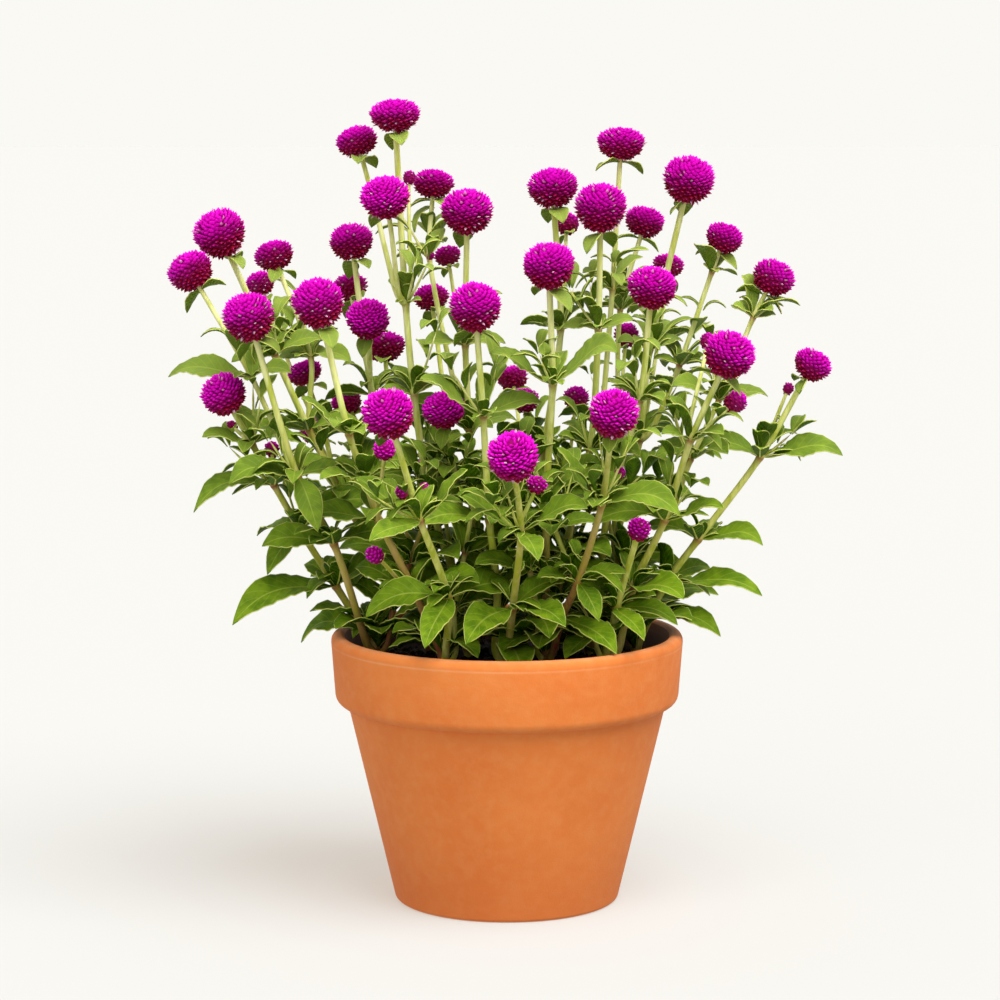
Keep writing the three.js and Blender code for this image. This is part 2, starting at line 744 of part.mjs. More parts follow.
// A pair of opposite leaves on the faces of every joint that are still free, and on the lower joints a
// smaller pair between them
function addPair(stem, facets, size, highest) {
  const random = seededRandom(stem.seed + facets[0] + PAIR_SEED);
  stem.shoots.forEach((shoot, row) => {
    shoot.joints.forEach((joint, k) => {
      facets.forEach((facet) => {
        const length = leafLength(joint.point.z) * size * mix(...PAIR_LENGTHS, random());
        const lift = mix(...PAIR_LIFTS, random()) + (size < 1 ? SMALL_PAIR_LIFT : LARGE_PAIR_LIFT);
        const isFoot = !shoot.parent && k === 0;
        if (isFoot || joint.facets[facet] || joint.point.z > highest) {
          return;
        }
        const blade = findBlade({
          root: joint.point,
          along: alongAt(shoot, k),
          azimuth: joint.azimuth + 90 * facet,
          lift,
          length,
          width: length * LEAF_SLENDERNESS,
          rise: length * LEAF_RISE,
          seed: row * 20 + k * 4 + facet,
          owner: stem.name,
        });
        if (blade) {
          joint.facets[facet] = keepBlade(blade, stem.name);
        }
      });
    });
  });
}

function growPlant() {
  const stems = LEAFY_STEMS.map(({ name, shoots }, index) => {
    const stem = { name, seed: FIRST_SEED + SEED_STEP * index, shoots: [] };
    shoots.forEach((entry) => stem.shoots.push(startShoot(stem, entry)));
    return stem;
  });
  stems.forEach((stem) => {
    const random = seededRandom(stem.seed + TURN_SEED);
    stem.shoots.forEach((shoot) => {
      const start = 90 * random();
      shoot.joints.forEach((joint, k) => takeFacets(shoot, k, start));
    });
  });
  stems.forEach((stem) => {
    stem.shoots.forEach((shoot) => takeShootRoom(shoot, stem.name));
    const items = stem.shoots.flatMap((shoot) => shoot.joints).flatMap((joint) => joint.facets);
    items.filter((item) => item?.blade).forEach((item) => keepBlade(item.blade, stem.name));
  });
  stems.forEach(addYoungShoots);
  stems.forEach(addBracts);
  stems.forEach((stem) => addPair(stem, [0, 2], 1, PAIRS_TO));
  stems.forEach((stem) => addPair(stem, [1, 3], SMALL_PAIR, SMALL_PAIRS_TO));
  return stems;
}

// Skins: every leafy stem is one closed skin of four-cornered rings. A leaf, bract or side shoot grows out
// of the face that is left open for it between two rings of its stem.

function addRing(skin, corners) {
  const start = skin.points.length;
  skin.points.push(...corners);
  return CORNERS.map((k) => start + k);
}

// Side faces between two rings. Opposite faces are split alike, so that the two faces of a thin blade
// never cross.
function bridge(skin, ring, next, isOpen = () => false) {
  CORNERS.filter((k) => !isOpen(k)).forEach((k) => {
    const [a, b, c, d] = [ring[k], ring[(k + 1) % 4], next[k], next[(k + 1) % 4]];
    if (k % 2 === 0) {
      skin.triangles.push([a, b, d], [a, d, c]);
    } else {
      skin.triangles.push([a, b, c], [b, d, c]);
    }
  });
}

function closeFlat(skin, [a, b, c, d]) {
  skin.triangles.push([a, b, c], [a, c, d]);
}

function closeToPoint(skin, ring, tip) {
  skin.points.push(tip);
  CORNERS.forEach((k) => skin.triangles.push([ring[k], ring[(k + 1) % 4], skin.points.length - 1]));
}

function stemRing(centre, along, azimuth, radius) {
  return CORNERS.map((k) => {
    const out = squareTo(along, headingOf(azimuth - 45 + 90 * k));
    return centre.clone().addScaledVector(out, CORNER * radius);
  });
}

// The ring started at the corner from which its corners lie closest to those of the next ring
function leastTwisted(skin, ring, next) {
  const turned = CORNERS.map((turn) => CORNERS.map((k) => ring[(k + turn) % 4]));
  const reach = (corners) => corners.reduce((sum, from, k) => sum + gapOf(skin, from, next[k]), 0);
  return turned.reduce((best, other) => (reach(other) < reach(best) - 1e-6 ? other : best));
}

function gapOf(skin, from, to) {
  return skin.points[from].distanceTo(skin.points[to]);
}

// Leaf or bract: folded along its rib, its edges waved alike on both faces
function growBlade(skin, port, blade, stops) {
  const random = seededRandom(blade.seed * WAVE_SEED_STEP + WAVE_SEED);
  const firstWave = random() < 0.5 ? 1 : -1;
  let ring = port;
  stops.forEach((share, row) => {
    const { middle, side, normal } = bladeFrame(blade, share);
    const half = halfWidth(blade.width, share);
    const wave = firstWave * (row % 2 === 0 ? 1 : -1) * LEAF_WAVE * blade.width;
    const fold = LEAF_FOLD * half;
    const next = addRing(skin, [
      middle.clone().addScaledVector(normal, -0.5 * RIB_THICKNESS),
      middle.clone().addScaledVector(side, half).addScaledVector(normal, fold - wave),
      middle.clone().addScaledVector(normal, 0.5 * RIB_THICKNESS),
      middle.clone().addScaledVector(side, -half).addScaledVector(normal, fold + wave),
    ]);
    bridge(skin, row === 0 ? leastTwisted(skin, ring, next) : ring, next);
    ring = next;
  });
  closeToPoint(skin, ring, blade.tip);
}

// A layer of the stem between two rings, with what grows out of its faces. Gives back its upper ring.
function growLayer(skin, ring, { low, high, along, radii, azimuth, turn, items }) {
  const shift = Math.round((turn - azimuth) / 90);
  const started = azimuth + 90 * shift;
  const lower = addRing(skin, stemRing(low, along, started, radii[0]));
  const upper = addRing(skin, stemRing(high, along, started, radii[1]));
  const facing = (k) => items[(((k + shift) % 4) + 4) % 4];
  bridge(skin, ring, lower);
  bridge(skin, lower, upper, (k) => Boolean(facing(k)));
  CORNERS.filter(facing).forEach((k) => {
    const after = (k + 1) % 4;
    const port = [lower[k], lower[after], upper[after], upper[k]];
    const { blade, shoot, stops } = facing(k);
    if (shoot) {
      growShoot(skin, port, shoot);
    } else {
      const leafStops = blade.length > LARGE_LEAF ? LARGE_LEAF_STOPS : SMALL_LEAF_STOPS;
      growBlade(skin, port, blade, stops ?? leafStops);
    }
  });
  return { ring: upper, turn: started };
}

function growShoot(skin, port, shoot) {
  let state = startRing(skin, port, shoot);
  shoot.joints.forEach((joint, k) => {
    const along = alongAt(shoot, k);
    const radius = joint.radius * JOINT_SWELLING;
    state = growLayer(skin, state.ring, {
      low: joint.point.clone().addScaledVector(along, -JOINT_HALF_HEIGHT),
      high: joint.point.clone().addScaledVector(along, JOINT_HALF_HEIGHT),
      along,
      radii: [radius, radius],
      azimuth: joint.azimuth,
      turn: state.turn,
      items: joint.facets,
    });
  });
  if (shoot.entry.head) {
    const [first, second] = shoot.bracts.map((bract) => bract && { ...bract, stops: BRACT_STOPS });
    state = growLayer(skin, state.ring, {
      low: shoot.top.clone().addScaledVector(shoot.axis, -BRACT_BELOW_TOP),
      high: shoot.top,
      along: shoot.axis,
      radii: [shoot.high, shoot.high],
      azimuth: shoot.bractAzimuth,
      turn: state.turn,
      items: [first, null, second, null],
    });
    closeFlat(skin, state.ring);
  } else if (shoot.entry.bud) {
    growBud(skin, state, shoot);
  } else {
    closeToPoint(skin, state.ring, shoot.top);
  }
}

function startRing(skin, port, shoot) {
  if (port) {
    const along = shoot.line[1].clone().sub(shoot.elbow).normalize();
    const ring = addRing(skin, stemRing(shoot.elbow, along, shoot.azimuth, shoot.low));
    bridge(skin, port, ring);
    return { ring, turn: shoot.azimuth };
  }
  const bottom = shoot.joints[0].point.clone().setZ(SOIL_TOP - BURIED_LENGTH);
  const ring = addRing(skin, stemRing(bottom, UP, shoot.joints[0].azimuth, FOOT_RADIUS));
  closeFlat(skin, [...ring].reverse());
  return { ring, turn: shoot.joints[0].azimuth };
}

// Unopened bud at the end of a shoot
function growBud(skin, { ring, turn }, { centre, axis, width, height, high }) {
  const outline = [[-0.5, 2 * high], ...BUD_RINGS.map(([level, share]) => [level, share * width])];
  let last = ring;
  outline.forEach(([level, across]) => {
    const middle = centre.clone().addScaledVector(axis, level * height);
    const next = addRing(skin, stemRing(middle, axis, turn, 0.5 * across));
    bridge(skin, last, next);
    last = next;
  });
  closeToPoint(skin, last, centre.clone().addScaledVector(axis, 0.5 * height));
}

function geometryFrom({ points, triangles }) {
  const geometry = new THREE.BufferGeometry();
  const numbers = points.flatMap((point) => [point.x, point.y, point.z]);
  geometry.setAttribute('position', new THREE.Float32BufferAttribute(numbers, 3));
  geometry.setIndex(triangles.flat());
  return geometry;
}

function stemGeometry(stem) {
  const skin = { points: [], triangles: [] };
  growShoot(skin, null, stem.shoots[0]);
  return geometryFrom(skin);
}

// Head: pointed florets on a spiral over a flattened globe, each a facet that rises to its own tip, with a
// flat seat for the stem
function headGeometry(width, height, florets, seed) {
  const tips = Array.from({ length: florets }, (_, k) => {
    const level = mix(FIRST_FLORET, LAST_FLORET, k / (florets - 1));
    const out = Math.sqrt(1 - level * level);
    const angle = seed + k * GOLDEN_ANGLE;
    return new THREE.Vector3(out * Math.cos(angle), out * Math.sin(angle), level);
  });
  tips.push(new THREE.Vector3(0, 0, -1));
  const { faces } = new ConvexHull().setFromPoints(tips);
  const valleys = faces.map((face) => face.midpoint.clone().normalize().multiplyScalar(1 - VALLEY_DEPTH));
  const points = [...tips.map((tip) => tip.clone()), ...valleys];
  points[florets].multiplyScalar(HEAD_SEAT);
  const triangles = [];
  faces.forEach((face, index) => {
    let { edge } = face;
    do {
      const tail = tips.indexOf(edge.tail().point);
      triangles.push([tail, tips.length + faces.indexOf(edge.twin.face), tips.length + index]);
      edge = edge.next;
    } while (edge !== face.edge);
  });
  const stretch = new THREE.Vector3(0.5 * width, 0.5 * width, 0.5 * height);
  points.forEach((point) => point.multiply(stretch));
  return geometryFrom({ points, triangles });
}

// Pot and soil

function latheGeometry(profile) {
  const points = profile.map(([out, height]) => new THREE.Vector2(out, height));
  const geometry = new THREE.LatheGeometry(points, POT_SIDES);
  geometry.rotateX(Math.PI / 2);
  geometry.deleteAttribute('normal');
  geometry.deleteAttribute('uv');
  return mergeVertices(geometry, 1e-4);
}

function potGeometry() {
  const profile = [
    [DRAIN_RADIUS, 0],
    [POT_FOOT_RADIUS - FOOT_ROUNDING, 0],
    [POT_FOOT_RADIUS, FOOT_ROUNDING],
    [BODY_TOP_RADIUS, BAND_BOTTOM],
    [BAND_BOTTOM_RADIUS - BAND_EDGE_IN, BAND_BOTTOM],
    [BAND_BOTTOM_RADIUS, BAND_BOTTOM + BAND_EDGE_UP],
    [POT_RIM_RADIUS, POT_HEIGHT - LIP_HEIGHT],
    // Rounded lip
    [POT_RIM_RADIUS - 1.6, POT_HEIGHT - 0.9],
    [POT_RIM_RADIUS - LIP_TOP_IN, POT_HEIGHT],
    [INNER_RIM_RADIUS + 0.7, POT_HEIGHT - 1.2],
    [INNER_RIM_RADIUS - LIP_NARROWING, POT_HEIGHT - LIP_HEIGHT],
    [INNER_BAND_RADIUS, BAND_BOTTOM],
    [INNER_FLOOR_RADIUS, POT_FLOOR],
    [DRAIN_RADIUS, POT_FLOOR],
  ];
  return latheGeometry([...profile, profile[0]]);
}

function solidOf(geometry) {
  const mesh = new wasm.Mesh({
    numProp: 3,
    vertProperties: new Float32Array(geometry.attributes.position.array),
    triVerts: new Uint32Array(geometry.index.array),
  });
  return new wasm.Manifold(mesh);
}

function geometryOf(solid) {
  const mesh = solid.getMesh();
  const geometry = new THREE.BufferGeometry();
  geometry.setAttribute('position', new THREE.BufferAttribute(mesh.vertProperties, 3));
  geometry.setIndex(new THREE.BufferAttribute(mesh.triVerts, 1));
  return geometry;
}

// Low mounds and hollows of the soil's face
function soilHeight(x, y) {
  const [wide, deep] = SOIL_MOUND_WIDTHS;
  return SOIL_TOP + SOIL_RELIEF * Math.sin(x / wide + 0.6) * Math.cos(y / deep - 0.4);
}

// The plain hole that a stem stands in
function holeSolid(shoot) {
  const { point, azimuth } = shoot.joints[0];
  const bottom = point.clone().setZ(SOIL_TOP - BURIED_LENGTH - STEM_HOLE_GAP);
  const top = point.clone().setZ(SOIL_TOP + BURIED_LENGTH);
  const radius = FOOT_RADIUS * JOINT_SWELLING + STEM_HOLE_GAP;
  const skin = { points: [], triangles: [] };
  const lower = addRing(skin, stemRing(bottom, UP, azimuth, radius));
  const upper = addRing(skin, stemRing(top, UP, azimuth, radius));
  closeFlat(skin, [...lower].reverse());
  bridge(skin, lower, upper);
  closeFlat(skin, upper);
  return solidOf(geometryFrom(skin));
}

function soilGeometry(stems) {
  const rise = (SOIL_TOP - BAND_BOTTOM) / (POT_HEIGHT - LIP_HEIGHT - BAND_BOTTOM);
  const wall = mix(INNER_BAND_RADIUS, INNER_RIM_RADIUS - LIP_NARROWING, rise) - 2 * SOIL_GAP;
  const geometry = latheGeometry([
    [0, POT_FLOOR + SOIL_GAP],
    [INNER_FLOOR_RADIUS - 2 * SOIL_GAP, POT_FLOOR + SOIL_GAP],
    [INNER_BAND_RADIUS - 2 * SOIL_GAP, BAND_BOTTOM],
    [wall, SOIL_TOP],
    ...SOIL_RINGS_AT.map((share) => [share * wall, SOIL_TOP]),
    [0, SOIL_TOP],
  ]);
  const { position } = geometry.attributes;
  for (let k = 0; k < position.count; k += 1) {
    const [x, y, z] = [position.getX(k), position.getY(k), position.getZ(k)];
    if (z > SOIL_TOP - 0.01 && Math.hypot(x, y) < wall - 1) {
      position.setZ(k, soilHeight(x, y));
    }
  }
  const plug = solidOf(geometry);
  const dug = stems.reduce((soil, stem) => soil.subtract(holeSolid(stem.shoots[0])), plug);
  return geometryOf(dug);
}

function material(color, roughness) {
  return new THREE.MeshStandardMaterial({ color, roughness, metalness: 0, flatShading: true });
}

const TERRACOTTA = material(0xd9773f, 0.85);
const SOIL = material(0x2b1c14, 1);
const GREEN = material(0x5c8a2c, 0.6);
const MAGENTA = material(0xb9168a, 0.7);

const plant = new THREE.Group();

function addMesh(name, geometry, finish) {
  const mesh = new THREE.Mesh(geometry, finish);
  mesh.name = name;
  plant.add(mesh);
  return mesh;
}

const stems = growPlant();
addMesh('pot', potGeometry(), TERRACOTTA);
addMesh('soil', soilGeometry(stems), SOIL);

stems.forEach((stem) => addMesh(stem.name, stemGeometry(stem), GREEN));

const flowering = stems.flatMap((stem) => stem.shoots).filter((shoot) => shoot.entry.head);
flowering.forEach(({ centre, axis, width, height }, index) => {
  const florets = width < SMALL_HEAD_WIDTH ? FLORETS_SMALL : FLORETS_LARGE;
  const name = `globe_head_${String(index + 1).padStart(2, '0')}`;
  const head = addMesh(name, headGeometry(width, height, florets, index), MAGENTA);
  head.position.copy(centre);
  head.quaternion.setFromUnitVectors(UP, axis);
});

export default plant;
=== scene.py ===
import json
import math
import types

import bmesh
import bpy
import numpy as np
from mathutils import Matrix, Vector, noise

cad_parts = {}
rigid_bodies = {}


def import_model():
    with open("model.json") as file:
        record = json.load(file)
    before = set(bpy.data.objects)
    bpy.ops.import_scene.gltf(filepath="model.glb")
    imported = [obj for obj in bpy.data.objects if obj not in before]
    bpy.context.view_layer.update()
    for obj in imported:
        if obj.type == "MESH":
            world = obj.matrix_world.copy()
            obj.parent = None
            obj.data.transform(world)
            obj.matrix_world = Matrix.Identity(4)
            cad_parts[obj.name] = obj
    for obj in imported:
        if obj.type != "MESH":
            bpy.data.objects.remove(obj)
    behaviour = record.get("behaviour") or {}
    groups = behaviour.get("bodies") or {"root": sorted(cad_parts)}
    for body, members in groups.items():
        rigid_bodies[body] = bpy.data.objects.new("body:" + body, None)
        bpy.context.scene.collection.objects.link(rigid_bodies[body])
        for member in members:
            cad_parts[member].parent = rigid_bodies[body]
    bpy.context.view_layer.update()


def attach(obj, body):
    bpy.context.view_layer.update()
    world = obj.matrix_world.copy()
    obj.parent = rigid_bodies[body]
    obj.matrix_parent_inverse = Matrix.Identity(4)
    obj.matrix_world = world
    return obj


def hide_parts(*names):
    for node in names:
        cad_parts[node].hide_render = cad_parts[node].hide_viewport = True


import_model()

MM = 0.001

# Pot
POT_HEIGHT = 137.8
POT_RIM_RADIUS = 90
POT_FOOT_RADIUS = 57
POT_WALL = 7
BAND_BOTTOM = 101.5
BAND_BOTTOM_RADIUS = 87
BODY_TOP_RADIUS = 81
DRAIN_RADIUS = 10
POT_FLOOR = 8.5
INNER_FOOT_RADIUS = POT_FOOT_RADIUS - 6
INNER_BAND_RADIUS = BODY_TOP_RADIUS - POT_WALL + 0.4
INNER_RIM_RADIUS = POT_RIM_RADIUS - POT_WALL
INNER_LIP_DROP = 5
INNER_LIP_SLOPE = 0.4

# Soil
SOIL_TOP = 122
SOIL_GAP = 0.3
SOIL_RELIEF = 1.6
SOIL_WAVES = (9, 11)

# Stems
BURIED_LENGTH = 18
FOOT_HEIGHT = 4
FOOT_RADIUS = 2.4
MAIN_RADII = (2.0, 1.5)
SIDE_RADII = (1.45, 1.25)
YOUNG_RADII = (1.15, 0.95)
LEAFY_RADII = (1.4, 1.1)
JOINT_SWELLING = 1.2
ELBOW_OUT = 0.9
ELBOW_UP = 3

# Leaves and bracts
LEAF_FOLD = 0.3
LEAF_WAVE = 0.055
LEAF_SLENDERNESS = 0.44
LEAF_RISE = 0.16
LEAF_LENGTH_LOW = 46
LEAF_LENGTH_HIGH = 17
LEAFY_FROM = 150
LEAFY_TO = 320
SMALL_PAIR = 0.62
PAIRS_TO = 310
SMALL_PAIRS_TO = 320
LARGE_LEAF = 33
LEAF_FULLNESS = 1.1
LEAF_TILT = 36
ROLLED_BY = 0.45
BACK_FROM = 34
BRACT_LENGTH = 0.63
BRACT_WIDTH = 0.31
BRACT_RISE = 0.14
BRACT_LIFT = -20
BRACT_SEAT = 1.2
BRACT_VARIETY = (0.9, 1.1)
BRACT_SEED = 500
LEAF_VARIETY = (0.85, 1.12)
LEAF_LIFT = (-10, 16)
PAIR_LIFT = 2
SMALL_PAIR_LIFT = 12

# Young shoots, which carry leaves alone
YOUNG_SHOOTS = 2
YOUNG_TRIALS = 24
YOUNG_JOINTS = 3
YOUNG_SPACING = (21, 29)
YOUNG_LEAN = (3, 26)
YOUNG_TURN = 50
YOUNG_REACH = 76
YOUNG_TIP = 7
YOUNG_CLEAR = 1.1
UNTESTED_STEPS = 2

# Heads and buds
HEAD_SEAT = 0.9
HEAD_GAP = 0.3
SMALL_HEAD_WIDTH = 17
BUD_HEIGHT = 1.2

# Room kept round what grows, and how a leaf without room is turned, lifted and made smaller
UNTESTED_STALK = 5.4
HEAD_ROOM = 1.07
BLADE_REACH = 1.8
OWN_ROOM = 1.5
FOREIGN_ROOM = 1.8
TURNS = (0, 15, -15, 30, -30)
LIFTS = (0, 12, -12, 24)
SHRINKS = (1, 0.78, 0.6)
SAMPLE_LENGTH = 3.4
SAMPLE_WIDTH = 6
LAST_SAMPLE = 0.99
ROOM_STEP = 3
LOOK_ROUND = 1.3
SOIL_CLEAR = 4
POT_CLEAR = 3
STEM_MARGIN = 0.4
HEAD_MARGIN = 0.5
MOST_POINTS = 60000

# The eye of the front view, and how much farther apart front to back the shoots stand than the places below
EYE_DISTANCE = 1700
EYE_HEIGHT = 430.7
DEPTH_SPREAD = 1.22

# Where the random draws of each kind of growth start
STEM_SEED = 101
STEM_SEED_STEP = 7
TURN_SEED = 50
YOUNG_SEED = 76
PAIR_SEED = 3
FINE_SEED = 900
CRUMB_SEED = 77

UP = np.array([0.0, 0.0, 1.0])
# Corner of a square section that has the area of a round one of radius 1
CORNER = math.sqrt(math.pi / 2)
GOLDEN_ANGLE = math.pi * (3 - math.sqrt(5))

# Points closer than this are one, in metres
MERGE_DISTANCE = 1e-6

# Fine stems
STEM_SIDES = 10
STEM_STEP = 5
STEM_BEND = 0.3
STEM_SWELLING = 0.3
SWELLING_REACH = 1.9
FOOT_TAPER = 30
JOINT_PULL = 0.09
ELBOW_REACH = 6
ELBOW_PULL = 0.92
ELBOW_SAG = 0.6
ELBOW_STEPS = 7
ELBOW_SWELLING = 0.35
ELBOW_TAPER = 5
NECK = 0.9
HEAD_CUP = 1.7
HEAD_CUP_SPREAD = 1.5
STEM_END = 0.2
REDDISH_TO = 260
STEM_REDNESS = (0.1, 1.4)
JOINT_REDNESS = (0.6, 1.1)
RIB_ROWS = 9
RIB_SIDES = 5
RIB_REACH = 0.86
RIB_RADIUS = (0.45, 0.85)
LONG_LEAF = 45
RIB_TAPER = 0.72
RIB_SUNK = 0.62
RIB_SUNK_FROM = 0.16
RIB_REDNESS = 0.12

# Fine leaves. The stops are the place of a leaf's first wave and the distance between waves, as shares of its
# length.
STALK_HALF_WIDTH = 0.9
STALK_END = 0.3
STALK_TO = 0.3
STALK_FADE = 0.1
LARGE_LEAF_ROWS = 22
SMALL_LEAF_ROWS = 14
LEAF_COLUMNS = 8
AXIL_LEAF_ROWS = 8
AXIL_LEAF_COLUMNS = 4
BRACT_ROWS = 9
BRACT_COLUMNS = 6
LEAF_THICKNESS = 0.45
RIPPLE = 0.034
RIPPLES = (5, 8)
EDGE_JAG = 0.02
JAGS = 1.7
LEAF_ROUNDNESS = 0.86
LARGE_LEAF_STOPS = (0.17, 0.285)
SMALL_LEAF_STOPS = (0.26, 0.38)
BASAL_LEAF_STOPS = (0.17, 0.3)
AXIL_LEAF_STOPS = (0.3, 0.5)
BRACT_STOPS = (0.45, 1.1)
WAVE_FROM = 0.12
WAVE_OUT = 0.14
# Height over which leaves turn to the top green: partly young leaves' own colour, partly painted light.
YOUTH_AND_TOP_LIGHT_SPAN = 210
AXIL_LEAF = 20
AXIL_TURNS = (20, 45, 70, 200, 225, 250)
AXIL_TURN = (-15, 15)
AXIL_VARIETY = (0.4, 1.2)
AXIL_LEAN = (28, 80)
AXIL_OUT = 1.2
AXIL_RISE = (0.05, 0.3)
AXIL_SLENDERNESS = 0.46
TIP_LEAF = 19
TIP_TURNS = (40, 130, 220, 310)
TIP_VARIETY = (0.6, 1.2)
BRACT_FULLNESS = 1.25
BASAL_LEAVES = 8
BASAL_LENGTH = (26, 42)
BASAL_SLENDERNESS = 0.5
BASAL_DRIFT = 0.35
BASAL_OUT = 1.5
BASAL_HEIGHT = (2, 9)
BASAL_CLIMB = (-0.1, 0.4)
BASAL_REACH = 0.9
BASAL_RIM_ZONE = 17.5
BASAL_OVER_RIM = (6, 12)
BASAL_ROOT_AT_RIM = 10
HEAD_CLEARANCE = 2.5
HEAD_IN_SIGHT = 0.44

# Twigs with small leaves
TWIGS_FROM = 190
TWIG_SHARE = 0.9
TWIGS_PER_JOINT = 2
TWIG_LEAN = (16, 44)
TWIG_TURN = (-20, 20)
TWIG_LENGTH = (14, 34)
TWIG_OUT = 0.8
TWIG_CLIMB = 0.12
TWIG_STEPS = 5
TWIG_RADII = (0.8, 0.5)
TWIG_REDNESS = 0.25
TWIG_LEAF = (11, 20)
TWIG_BUD = (4, 7.5)
TWIG_BUD_SEAT = 0.4
BUD_SHARE = 0.14

# Fine heads. The outline is the height and half width of a floret's rings.
HEAD_CORE = 0.85
FLORET_OUTLINE = ((0, 0.36), (0.48, 0.66), (0.77, 0.47), (1, 0))
FLORET_FLATNESS = 0.5
FLORET_BEND = 0.1
FLORET_ROOT = 0.62
FLORET_TIP = (0.98, 1.09)
FLORET_WIDTH = 2.9
FLORET_UPTURN = 0.19
FLORET_TURN = 0.35
FLORETS_PER_AREA = 0.57
FLORET_LEVELS = (0.995, -0.96)
FLORET_DRIFT = 0.035
LARGE_HEAD_RADIUS = 13
PALE_SHARE = 0.08
SPECK_LENGTH = 1.12
SPECK_WIDTH = 0.5

# Fine pot and soil
POT_STEPS = 96
ROUNDING_STEPS = 6
FOOT_EDGE = 1
LIP_EDGE = 1.5
POT_UNEVENNESS = 0.35
POT_WAVINESS = 24
SOIL_STEPS = 96
SOIL_RINGS = 44
LUMP_CLOSENESS = 0.16
LUMP_HEIGHT = 1.1
CRUMBS = 900
CRUMB_SIZE = (0.7, 2.3)
CRUMB_LIFT = 0.3

# Where colours change, and the side veins of a leaf
SIDE_VEINS = 9
VEIN_SLANT = 1.9
# Heights over which stems turn paler: partly their own colour, partly painted light.
PALE_FROM = 190
PALE_TO = 310
FOOT_SHADE = 60
# Painted highlight under the lip: its drop from the top and its width.
RIM_HIGHLIGHT_DROP = 5
RIM_HIGHLIGHT_WIDTH = 0.9
PALE_LIP = 1.8
INNER_DARK_FROM = 139
INNER_DARK_TO = 126

# Stage, in metres. The camera's sensor, lens and aim are in millimetres.
FLOOR_SIZE = 30.0
BACKDROP_PLACE = 14.0
FLOOR_COLOUR = (0.296, 0.334, 0.358, 1.0)
FLOOR_GLOW = (0.505, 0.445, 0.384, 1.0)
BACKGROUND = (0.956, 0.947, 0.904, 1.0)
SKY_STRENGTH = 0.55
KEY_STRENGTH = 3.4
KEY_PLACE = (0.75, -1.0, 2.2)
KEY_ANGLE = 48
FILL_STRENGTH = 0.6
FILL_PLACE = (-1.0, -1.6, 0.8)
FILL_ANGLE = 60
KEY_COLOUR = (1.0, 0.98, 0.95)
FILL_COLOUR = (1.0, 1.0, 1.0)
SENSOR = 36.0
LENS = 121.705
AXIS_SHIFT = 0.007
AIM_HEIGHT = 205.4
FARTHEST_SEEN = 50

